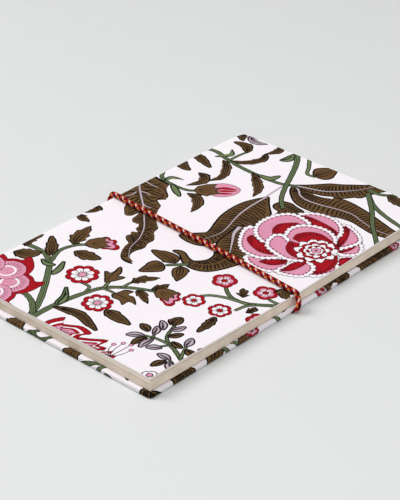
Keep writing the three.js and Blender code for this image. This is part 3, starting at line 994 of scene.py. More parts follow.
def cordLeaf(b):
    # broad leaf under the cord
    b.broadLeaf([(-72, 34), (-60, 31.5), (-53, 31), (-51, 27.5), (-49, 25), (-45, 22), (-43.6, 19),
                 (-46, 15.5), (-43, 13.4), (-40.5, 12), (-38.5, 8), (-36, 4), (-33, 1), (-29.5, -2),
                 (-26.5, -4.5), (-25.3, -8.5), (-22.6, -11), (-20.3, -14), (-20.2, -18), (-18.6, -22),
                 (-19.8, -27), (-19, -31), (-16.5, -34), (-12.6, -35.8), (-16, -36.8), (-20, -36),
                 (-23.5, -32.5), (-26, -28), (-27, -24), (-30, -22.3), (-32.6, -20), (-32, -17.5),
                 (-33.4, -15.5), (-30.8, -13.8), (-34, -12), (-34.7, -9.5), (-36.5, -7.8), (-39.5, -8.4),
                 (-42, -6), (-42.8, -2.5), (-44.2, 0.4), (-44.5, -4.5), (-47, -6), (-50, -3.5), (-52.5, -1),
                 (-55, 2.6), (-59, 3), (-63, 6), (-72, 9)],
                [(-70, 27), (-60, 17.5), (-48, 7.5), (-38, -2), (-31, -9.5), (-26, -18), (-23, -27),
                 (-17, -34.5)],
                "lavender", 1.95, 0.5)
    for rib in (
        [(-66, 26.5), (-60, 25.6), (-55, 25.6)], [(-59, 16.8), (-55, 17.6), (-52, 17)],
        [(-60, 15), (-59.6, 11), (-61, 8)], [(-49, 8.4), (-46, 7.6), (-43, 8.2)],
    ):
        b.stroke("lavender", rib, 0.8, 0.5, 4)
    b.leaf([(-65, -9), (-62, -12), (-64, -17)], 4, 2, 0.3)
    b.leaf([(-64, -21), (-61, -22.5), (-56.5, -23)], 4.4, 2, 0.2)


def peonyAndFeathers(b):
    b.stroke("lavender", [(-9, 72), (-8.7, 66), (-8, 56)], 1.5, 0.8)
    b.broadLeaf([(-6.8, 56.5), (-9.5, 51), (-12, 44), (-12.6, 36), (-11.5, 27), (-9, 19.5), (-6.3, 13),
                 (-5.6, 9), (-8, 6), (-11, 3), (-14, -1), (-9, -3), (-3, -2.6), (1, 0), (3, 5), (4, 12),
                 (5, 20), (6.5, 27), (6.2, 31), (8.7, 33.2), (6.3, 36.5), (6.6, 40.5), (4.8, 44.5), (1, 48),
                 (-3, 52)],
                [(-7.6, 56), (-7.5, 46), (-6.5, 36), (-4.5, 28), (-1.5, 19), (-0.8, 12), (-3, 3)])
    b.broadLeaf([(1.5, 24), (3, 16), (4, 8), (6, 3.5), (8.5, 0), (11.5, -4), (12.4, -9), (10.5, -13),
                 (7.5, -15.5), (4, -15), (0, -13), (-3, -12.7), (-5.6, -14.6), (-2, -14.9), (1, -16.2),
                 (4, -18.5), (8, -20.2), (14, -20), (19, -17), (22.3, -11), (24, -5), (24.4, 1), (22, 6),
                 (19, 9.5), (14, 14), (9, 18.5), (6, 22), (3.5, 26)],
                [(3, 24), (8, 14), (15, 3), (17.6, -6), (14, -14), (6, -17.4)], None, 1.7)
    b.edged("lavender", taper(curveThrough([(2.4, 24.5), (4.4, 18), (9, 11.5), (15.4, 2.4)], 6), 1.1, 0.2),
            "bark", 0.4)
    b.leaf([(2.5, -22), (-3, -21), (-13.5, -21.5)], 8, 2, 0.1)
    b.leaf([(0, -28), (-2, -32), (-4.5, -39.5)], 9.5, 1, 0.1, belly=0.35)
    b.leaf([(7, -23.5), (10, -27), (14, -33.5)], 7.4, 2, 0.1)
    b.stem([(8, -19), (5, -22.5), (1, -27)], 1.8, 1.2)
    b.broadLeaf([(1.5, 58), (0.8, 53), (3, 50.5), (7, 49.5), (8, 46.5), (11.5, 49.5), (14, 52), (17.5, 54.5),
                 (15.6, 57), (10, 58), (6, 59)],
                [(2.5, 57), (7, 54), (12, 53.5), (16, 55)], None, 1.5)
    b.broadLeaf([(-5, 74.5), (-3, 70), (1, 66), (6, 62.5), (12, 60.7), (20, 61), (26, 62.5), (32, 65),
                 (40, 66.3), (48, 65), (55, 64), (64, 65.5), (76, 64), (76, 73), (62, 72.5), (55, 74),
                 (46, 76.5), (38, 78.5), (28, 80), (21, 79.5), (14, 77.5), (10, 75.5), (5, 74.5), (0, 75.4)],
                [(-3.5, 74.6), (0, 72.5), (4, 69), (10, 67.5), (18, 68.5), (28, 71), (36, 71.7), (44, 69.5),
                 (54, 67.5), (65, 68.5), (76, 69)])
    b.broadLeaf([(-5, 75), (0, 79.5), (4, 84), (8, 88.5), (12, 91), (17, 95), (22, 99), (26, 103), (34, 105),
                 (31, 97), (29, 92), (28, 88), (25, 86), (22, 82), (17, 79), (10, 76.5), (3, 75)],
                [(-4, 75.4), (2, 77.5), (9, 80), (14, 83.5), (19, 89), (23, 94.5), (27, 103)])
    b.edged("white", taper(curveThrough([(8, 74.5), (13, 75.6), (18, 78.2)], 6), 0.3, 0.9), "bark", 0.3)
    b.peony([
        ([(57, 34), (57, 37), (61, 41), (66, 38), (67, 32), (64, 26), (58, 28)],
         [(58, 36), (61.5, 38.5), (63.5, 34), (62, 29.5), (58, 30)]),
        ([(55, 36), (60, 30), (63.5, 25.5), (62, 19.5), (59, 14.5), (54.5, 12.5), (51, 16), (47, 22)],
         [(54.8, 36.3), (59, 31), (60.4, 25), (59.8, 20), (57, 15.8), (52.5, 17.4), (47.4, 20.2)]),
        ([(55, 53.8), (59.5, 50), (62, 44.7), (60, 41), (56, 37.5), (52.6, 40), (52, 47)],
         [(53.3, 52.5), (56, 49.7), (56.4, 43.8), (54.3, 39), (52.2, 41.7), (52.8, 47.5)]),
        ([(38.5, 60.4), (41, 61.8), (45.5, 60.6), (52, 57.3), (55.6, 53), (54.5, 47), (51.8, 41.3),
          (47.3, 45.2), (43.4, 52.7)],
         [(40.4, 60.7), (44.8, 58.2), (49.3, 50), (50.8, 42.5), (48.1, 44.3), (44.5, 51.8), (40.6, 57.5)]),
        ([(15.5, 54), (18.6, 58.3), (24.4, 61.4), (31.8, 62), (39.3, 58.7), (44, 52.9), (43.6, 48.2),
          (34.9, 47.3), (27.5, 47.6), (20.7, 50)],
         [(17, 53.5), (22.1, 55.4), (31.1, 55.3), (38.4, 54.1), (42.6, 51.6), (41.3, 49), (30.8, 49.6),
          (22.7, 51)]),
        ([(22.1, 5.4), (26.5, 2.4), (35.8, 1.7), (42.2, 5.2), (43.6, 13.3), (40, 17.9), (34.4, 16),
          (28, 10.5)],
         [(31, 6.2), (37, 8), (40.8, 13.2), (39.5, 16.7), (35.2, 12.9), (31.4, 9.8)]),
        ([(52.4, 21.7), (55.1, 17.9), (54.7, 10.5), (47.5, 6), (42, 5.4), (42.5, 12.9), (44.2, 22)],
         [(44, 7), (43.4, 15), (45.3, 22.3), (48.4, 19.6), (47.6, 11.6)]),
        ([(10.8, 14.6), (6.5, 21.5), (5.1, 27.2), (9, 30), (17, 27), (28.2, 23), (37, 18), (35, 14.6),
          (28.8, 9), (19.8, 8.2), (14.2, 11)],
         [(11.6, 22.5), (12.4, 18.6), (17, 15.4), (24.9, 13.3), (31.6, 16), (27, 19.8), (19.6, 21.6)]),
        ([(10.2, 26.5), (7.2, 31.7), (6.3, 38.7), (8.4, 46.8), (13.3, 52), (20.7, 52.2), (27, 49.4), (28, 41),
          (24, 31), (22, 21.9), (15.2, 22.8)],
         [(19.4, 29.6), (15.5, 34.7), (15.2, 40.4), (20.8, 46.6), (24, 44), (23.4, 35)]),
        ([(23.9, 33), (21.5, 40.3), (24.1, 47.1), (30.5, 50.8), (38.3, 51), (45.4, 47), (47, 40), (38, 30),
          (30, 29)],
         [(29, 33.6), (27.8, 38.4), (30.8, 43.8), (36.6, 46.2), (45, 44.4), (52, 41), (44, 34)]),
        ([(20.7, 23.7), (19.8, 30), (23, 33), (28, 31.6), (36, 28), (44, 25), (45.6, 21.4), (43, 18.6),
          (38, 16.8), (31, 17.4), (24.4, 19.4)],
         [(29, 31), (32, 25), (37, 21.7), (43, 21.6), (52, 25), (44, 33)]),
    ], 44.5, 32.8, 10.4)


def headBranches(b):
    b.stem([(-72, 73), (-60, 75.5), (-50, 73), (-38, 71), (-24, 70.5), (-12, 71.5), (-4, 75)], 2.0, 1.5)
    b.stem([(-27, 104), (-19, 93), (-12, 80), (-7, 70), (-1, 60), (6, 53)], 2.4, 1.5)
    b.stem([(-19, 104), (-12, 95), (-8, 89), (-3, 89)], 1.4, 1.0)
    b.stem([(28, 94), (38, 86), (50, 81), (70, 76)], 2.0, 1.5)
    b.stem([(28, 94), (40, 82), (50, 70), (58, 62), (70, 50)], 1.8, 1.6)
    b.stem([(26, 97), (34, 97), (42, 103)], 1.8, 1.4)
    b.stem([(-72, 52), (-65, 40), (-60, 34.5), (-50, 33), (-42, 34), (-38, 37)], 1.6, 1.2)
    b.stem([(-48, 73), (-48, 80), (-47, 87)], 1.1, 0.8)
    b.greenLeaf([(-56, 72), (-52, 78), (-55, 82)], 2.6, 0.4, None, 0.1)
    b.greenLeaf([(-26, 71), (-19, 72), (-17, 77.5)], 3.0, 0.5, None, 0.1)
    b.greenLeaf([(-28, 91), (-26, 95), (-27, 101)], 4.0, 0.5, "moss", 0.1)
    b.greenLeaf([(-52, 33), (-45, 29), (-40.5, 26.5)], 2.4, 0.4, None, 0.1)
    b.greenLeaf([(-57, 34), (-57, 38), (-52, 40)], 2.4, 0.4, None, 0.1)
    b.leaf([(-47, 86), (-52, 91), (-60, 90.5)], 5.0, 3, 0.15)
    b.leaf([(-39, 91), (-36, 85), (-40, 77), (-47, 73.5)], 4.8, 5, 0.15)
    b.leaf([(-38, 103), (-36, 98), (-38, 92)], 4.6, 3, 0.15)
    b.leaf([(-50, 70), (-44, 66), (-39, 57), (-41, 49.5)], 5.0, 5, 0.15)
    b.leaf([(-29, 70), (-22, 65), (-16, 59), (-13.5, 52.5)], 5.4, 5, 0.15)
    b.leaf([(-67, 66), (-60, 64), (-50, 60)], 4.8, 4, 0.15)
    b.leaf([(-50, 51), (-45, 50), (-43, 45), (-46, 38.5)], 5.4, 3, 0.15)
    b.leaf([(-67, 57), (-62, 52), (-56, 50.5)], 4.8, 3, 0.15)
    b.leaf([(-39, 31), (-33, 31), (-28, 26), (-26, 19.5)], 5.8, 3, 0.15)
    b.leaf([(-62, 101), (-61, 98), (-58, 95)], 4.4, 3, 0.2)
    b.leaf([(-58, 101), (-52, 98), (-46, 100)], 4.4, 2, 0.1, "lavender", "plum", "plum")
    b.leaf([(-4, 90), (-2, 95), (0, 103)], 12, 1, 0.05, belly=0.45)
    b.leaf([(38, 99), (44, 97), (52, 95)], 5.5, 4, 0.2)
    b.bud(-33.5, 41.5, 42, 13)


def layFlowers(block):
    # one repeat of the fabric, as it falls on the front cover, in millimetres from the cover's middle
    for lay in (tailBranches, foreEdgeSprig, cordRosettes, cordLeaf, peonyAndFeathers, headBranches):
        lay(block)


def frontPrint():
    block = Block(11)
    layFlowers(block)
    # what the repeat brings round on to the spine
    block.leaf([(-66, 12), (-68, 18), (-65, 26)], 4, 3, 0.2)
    return block.shapes


def backPrint():
    b = Block(23, 180.0, (4.0, 3.0))
    layFlowers(b)
    # what the cloth's cut happens to bring on to the fore-edge and the tail edge
    b.degrees, b.shift = 0.0, (0.0, 0.0)
    b.put("bare", [(63.6, -116), (90, -116), (90, 116), (63.6, 116)])
    b.put("bare", [(-75, -116), (90, -116), (90, -103.2), (-75, -103.2)])
    b.broadLeaf([(58, -84), (64, -88.4), (68, -89), (71, -87.6), (72, -83), (71, -79), (67, -76.6), (63, -76),
                 (58, -78)],
                [(57, -81), (64, -82), (72, -83)], None, 1.0)
    b.leaf([(60, -67), (66, -63), (71, -57.5), (72, -51)], 8, 2, 0.1)
    b.stem([(60, -50), (66, -54.5), (74, -57)], 1.5, 1.3)
    b.stem([(60, -42), (66, -47), (74, -53)], 1.5, 1.3)
    b.bud(65.4, -42.4, 60, 6.4, True)
    b.rosette(68.6, -36, 4.0, 6, "pink", "red")
    b.stem([(60, -15), (66, -19), (74, -22.5)], 1.5, 1.2)
    b.leaf([(69, -14), (71, -11), (71, -7)], 3, 1, 0.1)
    b.rosette(67.5, 14, 4.6, 6, "pink", "red")
    b.broadLeaf([(60, 22), (64, 18), (69, 17), (73, 20), (73, 34), (69, 33), (64, 32), (60, 28)],
                [(58, 25), (66, 26), (73, 27)], None, 1.2)
    b.put("bare", scallop(65.4, 22, 2.0, 5, 0.2, 0.0, 1.3))
    b.leaf([(60, 51), (66, 47), (74, 42)], 8, 2, 0.1)
    b.broadLeaf([(60, 60), (64, 54), (70, 51), (74, 53), (74, 67), (69, 66), (63, 66)],
                [(58, 61), (66, 60), (74, 59)], None, 1.2)
    b.rosette(67.5, 69.5, 3.2, 5, "pink", "red")
    b.leaf([(60, 96), (66, 90), (74, 84)], 7, 2, 0.1)
    b.leaf([(-45, -98), (-40, -104), (-37, -112)], 8, 3, 0.2)
    b.leaf([(-27, -100), (-22, -104), (-20.5, -111)], 11, 1, 0.05)
    b.stem([(-16, -100), (-12, -105), (-9, -108), (-9, -114)], 1.8, 1.5)
    b.stem([(-11, -106.6), (-6, -104.6), (-2, -106), (1, -112)], 1.6, 1.3)
    b.leaf([(15, -98), (15, -104), (17, -113)], 9, 1, 0.05)
    b.stem([(20, -102), (26, -105.5), (33, -110), (38, -114)], 2.0, 1.6)
    b.stem([(31, -100), (33, -105), (36, -112)], 1.6, 1.4)
    b.leaf([(46, -112), (47.5, -110), (49, -108.6)], 1.8, 1, 0.1)
    b.leaf([(37, -104.4), (39.5, -103.8), (42, -103.2)], 1.6, 1, 0.1)
    b.broadLeaf([(55, -99), (59, -104), (60, -109), (63, -112), (67, -111), (70, -107), (69.5, -103),
                 (66, -100), (62, -96)],
                [(56, -97), (62, -103), (68, -109)], None, 0.7)
    return b.shapes


# ---- Cloth: cut flat, printed, then wrapped over the boards
def triangulate(outline, creases, shapes):
    # gives the spots, the triangles inside the outline with the last shape each lies in, and each
    # spot's sources
    points, edges, faces = [], [], []

    def add(line):
        start = len(points)
        points.extend(Vector((float(x), float(y))) for x, y in line)
        return range(start, start + len(line))

    faces.append(list(add(outline)))
    for crease in creases:
        run = add(crease)
        edges.extend(zip(run[:-1], run[1:]))
    for _, shape in shapes:
        faces.append(list(add(shape)))
    made = delaunay_2d_cdt(points, edges, faces, 0, 1e-5, True)
    kept = [(face, max(owners)) for face, owners in zip(made[2], made[5]) if 0 in owners]
    return np.array([tuple(v) for v in made[0]]), kept, made[3]


def boundaryLoop(triangles):
    sides = {(face[i], face[(i + 1) % 3]) for face in triangles for i in range(3)}
    ahead = {a: b for a, b in sides if (b, a) not in sides}
    loop = [min(ahead)]
    while ahead[loop[-1]] != loop[0]:
        loop.append(ahead[loop[-1]])
    if len(loop) != len(ahead):
        raise ValueError("the cloth's edge is not one loop: %d of %d" % (len(loop), len(ahead)))
    return loop


whiteCover = 0.5  # white ink lets half of the cloth through


def inkCorners(mesh, faceInk, shapes):
    colours = np.empty((len(mesh.loops), 4), np.float32)
    colours[:] = (*colour(*clothLook["ground"])[:3], 0.0)
    palette = {ink: colour(*level) for ink, level in inks.items()}
    for polygon, owner in zip(mesh.polygons, faceInk):
        # owner 0 is the cloth's own outline
        ink = shapes[owner - 1][0] if owner else "bare"
        if ink != "bare":
            corners = slice(polygon.loop_start, polygon.loop_start + 3)
            colours[corners] = palette[ink]
            if ink == "white":
                colours[corners, 3] = whiteCover
    addColours(mesh, "print", colours)


def makeCloth(name, outline, creases, shapes, place, flip):
    # place(u, v, depth) gives where a spot of the flat cloth lies, depth under its printed face
    spots, kept, _ = triangulate(outline, creases, shapes)
    loop = boundaryLoop([face for face, _ in kept])
    underSpots, underKept, underFrom = triangulate(spots[loop], creases, [])
    rimOf = {}
    for number, sources in enumerate(underFrom):
        for source in sources:
            if source < len(loop):
                rimOf[source] = number
    used = sorted({i for face, _ in kept for i in face})
    topOf = {old: new for new, old in enumerate(used)}
    underUsed = sorted({i for face, _ in underKept for i in face})
    underOf = {old: len(used) + new for new, old in enumerate(underUsed)}
    flat = np.vstack([spots[used], underSpots[underUsed]])
    depth = np.concatenate([np.zeros(len(used)), np.full(len(underUsed), diary["clothThickness"])])
    faces = [[topOf[i] for i in face] for face, _ in kept]
    faces += [[underOf[i] for i in face][::-1] for face, _ in underKept]
    for i, spot in enumerate(loop):
        following = (i + 1) % len(loop)
        a, b = topOf[spot], topOf[loop[following]]
        faces.append([b, a, underOf[rimOf[i]], underOf[rimOf[following]]])
    if flip:
        faces = [face[::-1] for face in faces]
    piece = addMesh(name, np.stack(place(flat[:, 0], flat[:, 1], depth), 1) * mm, faces)
    mesh = piece.data
    inkCorners(mesh, [owner for _, owner in kept], shapes)
    fabric = mesh.uv_layers.new(name="cloth")
    corners = readValues(mesh.loops, "vertex_index", 1, np.int32)[:, 0]
    fabric.data.foreach_set("uv", flat[corners].astype(np.float32).ravel())
    mesh.validate()
    finishPiece(piece, "cloth", 40)
    print(name, "made:", len(mesh.polygons), "faces")
    return piece


def gridLines(x0, x1, y0, y1, step):
    lines = []
    for i in range(1, int((x1 - x0) / step)):
        lines.append([(x0 + i * step, y0 - 1), (x0 + i * step, y1 + 1)])
    for i in range(1, int((y1 - y0) / step)):
        lines.append([(x0 - 1, y0 + i * step), (x1 + 1, y0 + i * step)])
    return lines


def besideCord(offsets, ends, shift=0.0):
    # creases on both sides of the cord's line
    lines = []
    for off in offsets:
        for sign in (1, -1):
            lines.append([(x, shift - press["skew"] * x + sign * off) for x in ends])
    return lines


frontCut = {
    "grid": 4.0,
    "bendSteps": 6,
    "wallHeights": (6.2, 5.6, 5.3, 5.0, 4.75, 4.5, 4.3),  # creases along the spine
    "endInsets": (0.3, 0.7, 1.2, 1.6, 2.0),               # creases beside the rounded ends of the spine
    "grooveLines": (1.2, 2.6, 4.2, 6.2, 8.6),
}


def frontCloth():
    d = diary
    radius = d["shoulderRadius"]
    bendStart = -d["coverHalfWidth"] + radius
    bendEnd = bendStart - radius * math.pi / 2
    wallTop = d["top"] - radius
    cutEnd = bendEnd - (wallTop - d["clothMeet"])
    half = d["pageHalfLength"]

    def place(u, v, depth):
        angle = np.clip((bendStart - u) / radius, 0, math.pi / 2)
        down = np.clip(bendEnd - u, 0, None)
        x = np.where(u > bendStart, u, bendStart - (radius - depth) * np.sin(angle))
        z = wallTop + (radius - depth) * np.cos(angle) - down
        return (*roundEnds(x, v, z), z + pressAt(x, v) * pressShare(z))

    outline = [(cutEnd, -half), (d["pageForeEdge"], -half), (d["pageForeEdge"], half), (cutEnd, half)]
    creases = gridLines(bendStart, d["pageForeEdge"], -half, half, frontCut["grid"])
    steps = frontCut["bendSteps"]
    lengthwise = [bendStart - (bendStart - bendEnd) * k / steps for k in range(steps + 1)]
    lengthwise += [bendEnd - (wallTop - z) for z in frontCut["wallHeights"]]
    creases += [[(u, -half - 1), (u, half + 1)] for u in lengthwise]
    for sign in (1, -1):
        for inward in frontCut["endInsets"]:
            v = sign * (half - inward)
            creases.append([(cutEnd - 1, v), (bendStart + 1.5, v)])
    creases += besideCord(frontCut["grooveLines"], (-75, 65))
    piece = makeCloth("front_cloth", outline, creases, frontPrint(), place, False)
    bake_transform(piece)
    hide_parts("front_cover_cloth")


backCut = {
    "grid": 5.0,
    "tab": 1.0,            # cloth turned over the board's end beside the spine
    "cornerTurn": 1.5,     # cloth turned over a corner
    "slack": 0.08,         # between the spine's cloth and the tabs beside it
    "wallHeights": (1.2, 1.6, 2.0, 2.4, 2.8, 3.3),
    "channelHalf": 2.18,
    "channelSlope": 0.35,
    "channelDepth": 0.88,
    "channelShift": -4.0,  # the cord runs nearer to the tail underneath than on top
}


def backCloth():
    d = diary
    c = backCut
    edge = d["edgeRadius"]
    soft = d["cornerRadius"] - edge
    coreX = d["coverHalfWidth"] - d["cornerRadius"]
    coreY = d["coverHalfLength"] - d["cornerRadius"]
    arc = edge * math.pi / 2
    wall = d["turnInTop"] - 2 * edge
    turned0 = 2 * arc + wall
    flap = d["turnInWidth"] - edge
    half = d["pageHalfLength"]

    def place(u, v, depth):
        # over the board's edge the cloth bends outward, rises and bends inward; at the spine it only rises
        cx, cy = np.clip(u, -coreX, coreX), np.clip(v, -coreY, coreY)
        away = np.maximum(np.hypot(u - cx, v - cy), tiny)
        nx, ny = (u - cx) / away, (v - cy) / away
        dist = away - soft
        inside = dist <= 0
        low = np.clip(dist / edge, 0, math.pi / 2)
        spine = (nx < -0.99) & (np.abs(v) <= half + 0.01)
        rise = np.clip(dist - arc, 0, np.where(spine, 9.0, wall))
        high = np.where(spine, 0, np.clip((dist - arc - wall) / edge, 0, math.pi / 2))
        inward = np.where(spine, 0, np.clip(dist - turned0, 0, None))
        arm = edge - depth
        out = np.where(high > 0, arm * np.cos(high), arm * np.sin(low)) - inward
        z = np.where(high > 0, edge + wall + arm * np.sin(high), edge - arm * np.cos(low) + rise)
        x = np.where(inside, u, cx + nx * (soft + out))
        y = np.where(inside, v, cy + ny * (soft + out))
        z = np.where(inside, depth, z)
        off = np.abs(y + press["skew"] * x - c["channelShift"])
        lift = np.clip((c["channelHalf"] + c["channelSlope"] - off) / c["channelSlope"], 0, 1)
        floor = c["channelDepth"] + depth
        return x, y, np.where(z < floor, z + (floor - z) * lift, z)

    quarter = [math.radians(15 * k) for k in range(7)]
    outerX, outerY = coreX + soft, coreY + soft
    farX, farY = outerX + turned0 + flap, outerY + turned0 + flap
    turnedOut = soft + turned0 + c["cornerTurn"]

    def corner(signX, signY, reach, backwards=False):
        points = []
        for a in quarter:
            points.append((signX * (coreX + reach * math.cos(a)), signY * (coreY + reach * math.sin(a))))
        return points[::-1] if backwards else points

    shrink = flap - soft
    tabEnd = -(outerX + turned0 + c["tab"])
    slit = -(outerX + arc + wall)
    spineEnd = -(outerX + arc + d["clothMeet"] - edge)
    tab = half + c["slack"]
    outline = [(farX, -(coreY - shrink)), (farX, coreY - shrink)]
    outline += corner(1, 1, turnedOut)
    outline += [(coreX - shrink, farY), (-coreX, farY)]
    outline += corner(-1, 1, turnedOut, True)
    outline += [(tabEnd, coreY - 0.05), (tabEnd, tab), (slit, tab), (slit, half), (spineEnd, half)]
    outline += [(spineEnd, -half), (slit, -half), (slit, -tab), (tabEnd, -tab), (tabEnd, -coreY + 0.05)]
    outline += corner(-1, -1, turnedOut)
    outline += [(-coreX, -farY), (coreX - shrink, -farY)]
    outline += corner(1, -1, turnedOut, True)

    creases = gridLines(-coreX, coreX, -coreY, coreY, c["grid"])
    for sign in (1, -1):
        creases.append([(sign * coreX, -farY - 1), (sign * coreX, farY + 1)])
        creases.append([(-farX - 1, sign * coreY), (farX + 1, sign * coreY)])
    rings = [0, arc / 4, arc / 2, arc * 3 / 4, arc, arc + wall]
    rings += [arc + wall + arc * k / 4 for k in (1, 2, 3, 4)]
    for reach in (soft + ring for ring in rings):
        loop = corner(1, 1, reach) + corner(-1, 1, reach, True)
        loop += corner(-1, -1, reach) + corner(1, -1, reach, True)
        creases.append(loop + loop[:1])
    for ring in (turned0 + 5, turned0 + 10):
        for sign in (1, -1):
            creases.append([(-coreX, sign * (outerY + ring)), (coreX, sign * (outerY + ring))])
        creases.append([(outerX + ring, -coreY), (outerX + ring, coreY)])
    for signX in (1, -1):
        for signY in (1, -1):
            inner, outer = corner(signX, signY, soft * 0.3), corner(signX, signY, turnedOut + 0.5)
            creases += [list(ends) for ends in zip(inner[1:-1], outer[1:-1])]
    for z in c["wallHeights"]:
        u = -(outerX + arc + z - edge)
        creases.append([(u, -half + 0.02), (u, half - 0.02)])
    channel = (c["channelHalf"], c["channelHalf"] + c["channelSlope"])
    creases += besideCord(channel, (-farX - 1, farX + 1), c["channelShift"])
    piece = makeCloth("back_cloth", outline, creases, backPrint(), place, True)
    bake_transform(piece)
    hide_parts("back_cover_cloth", "spine_cloth")
    size = ((farX - spineEnd) * mm, 2 * farY * mm)


frontCloth()
backCloth()


# ---- Boards and endpapers
def addFrontBoard():
    piece = addSlab("front_card", *boxOf("front_board"), 6, 0.06)
    pressPiece(piece)
    finishPiece(piece, "card")
    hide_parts("front_board")
    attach(piece, "front_cover")


boardRoom = 0.04  # between the board and the cloth, beside the cord's channel


def addBackBoard():
    # the thicker board of the back cover, with the cord's channel pressed across its underside
    low, high = boxOf("back_board")
    piece = addSlab("back_grey_board", low, high)
    bpy.ops.object.mode_set(mode="EDIT")
    selectEdges(piece, lambda a, b: abs(a.z - b.z) > 0.5 * mm)
    radius = diary["cornerRadius"] - diary["clothThickness"]
    bpy.ops.mesh.bevel(offset=radius * mm, segments=6, affect="EDGES")
    inner = backCut["channelHalf"] + boardRoom
    outer = backCut["channelHalf"] + backCut["channelSlope"] + boardRoom
    cutUnderCord((-outer, -inner, inner, outer), backCut["channelShift"])
    bpy.ops.object.mode_set(mode="OBJECT")
    raised = backCut["channelDepth"] + diary["clothThickness"] + boardRoom / 2 - low[2]
    for vertex in piece.data.vertices:
        off = abs(vertex.co.y / mm + press["skew"] * vertex.co.x / mm - backCut["channelShift"])
        if vertex.co.z < (low[2] + 0.01) * mm and off < inner + 0.01:
            vertex.co.z += raised * mm
    finishPiece(piece, "board")
    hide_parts("back_board")
    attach(piece, "back_cover")


def addEndpaper(name, node, body):
    piece = addSlab(name, *boxOf(node), 6)
    markCut(piece)
    pressPiece(piece)
    finishPiece(piece, "endpaper")
    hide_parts(node)
    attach(piece, body)


addFrontBoard()
addBackBoard()
addEndpaper("front_endpaper_glued", "front_pastedown", "front_cover")
addEndpaper("front_endpaper_free", "front_flyleaf", "front_flyleaf")
addEndpaper("back_endpaper_free", "back_flyleaf", "back_flyleaf")
print("boards and endpapers made")


# ---- Pages: each section is a nest of folded sheets
sectionLook = {
    "sheets": 3,
    "gap": 0.012,
    "stepX": 8.0,
    "stepY": 6.0,
    "foldSteps": 6,
    "trimSpread": 0.05,
}


def addFoldedSheet(low, high, inset, trim, thickness):
    # lower leaf, fold at the spine and upper leaf, drawn as one strip and given its thickness
    look = sectionLook
    bottom = low[2] + inset + thickness / 2
    radius = (high[2] - low[2]) / 2 - inset - thickness / 2
    foldX = low[0] + inset + thickness / 2 + radius
    edgeX = high[0] + trim
    deselectAll()
    bpy.ops.mesh.primitive_plane_add(size=1, location=((foldX + edgeX) / 2 * mm, 0, bottom * mm))
    piece = bpy.context.object
    piece.scale = ((edgeX - foldX) * mm, (high[1] - low[1]) * mm, 1)
    bpy.ops.object.transform_apply(location=True, rotation=True, scale=True)
    atFold = (foldX + 0.01) * mm
    atTop = (bottom + 2 * radius - 0.005) * mm
    bpy.ops.object.mode_set(mode="EDIT")
    selectEdges(piece, lambda a, b: max(a.x, b.x) < atFold)
    centre = (foldX * mm, 0, (bottom + radius) * mm)
    bpy.ops.mesh.spin(steps=look["foldSteps"], angle=math.pi, center=centre, axis=(0, 1, 0))
    selectEdges(piece, lambda a, b: max(a.x, b.x) < atFold and min(a.z, b.z) > atTop)
    bpy.ops.mesh.extrude_region_move(TRANSFORM_OT_translate={"value": ((edgeX - foldX) * mm, 0, 0)})
    cutStrips((foldX, low[1]), (edgeX, high[1]), look["stepX"], look["stepY"])
    bpy.ops.object.mode_set(mode="OBJECT")
    applyModifier(piece, "SOLIDIFY", thickness=thickness * mm, offset=0)
    turnOutward()
    return piece


def addSection(number, draw):
    node = "section_%d" % number
    low, high = boxOf(node)
    count = sectionLook["sheets"]
    gap = sectionLook["gap"]
    thickness = (high[2] - low[2] - gap * (2 * count)) / (2 * count)
    sheets = []
    for i in range(count):
        trim = draw.uniform(-1, 0) * sectionLook["trimSpread"]
        sheets.append(addFoldedSheet(low, high, i * (thickness + gap), trim, thickness))
    activate(*sheets)
    bpy.ops.object.join()
    section = bpy.context.object
    section.name = section.data.name = "leaves_%d" % number
    markCut(section)
    pressPiece(section)
    finishPiece(section, "pages")
    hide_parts(node)
    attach(section, "section_%d" % number if number <= 4 else "text_block")


pageDraw = random.Random(5)
for number in range(1, 9):
    addSection(number, pageDraw)
print("sections made")


# ---- Cord: sixteen strands braided round a core, in a closed loop round the diary
cordLook = {
    "diameter": 2.9,
    "flatThickness": 0.8,
    "flatWidth": 4.2,
    "gap": 0.08,
    "pitch": 10.0,
    "step": 0.45,
    "strandsEachWay": 8,
    "strandWidth": 0.43,
    "strandHeight": 0.2,
    "wave": 0.15,
    "sides": 6,
    "colours": ((246, 166, 52), (198, 8, 24), (8, 5, 7), (198, 8, 24)),
    "crossing": ((198, 8, 24), (250, 240, 232), (198, 8, 24), (8, 5, 7)),
    # the core is painted nearly black, as painted shade in the gaps between the strands
    "core": (34, 4, 8),
    "coreSides": 12,
    "coreShare": 0.62,       # of the cord's radius
    "bendSteps": 16,
    "leanFrom": (6.9, 8.8),  # heights where it starts to lean, at the fore-edge and at the spine
    "leanTo": 1.5,
}


def addUp(lengths):
    return np.concatenate([[0], np.cumsum(lengths)])


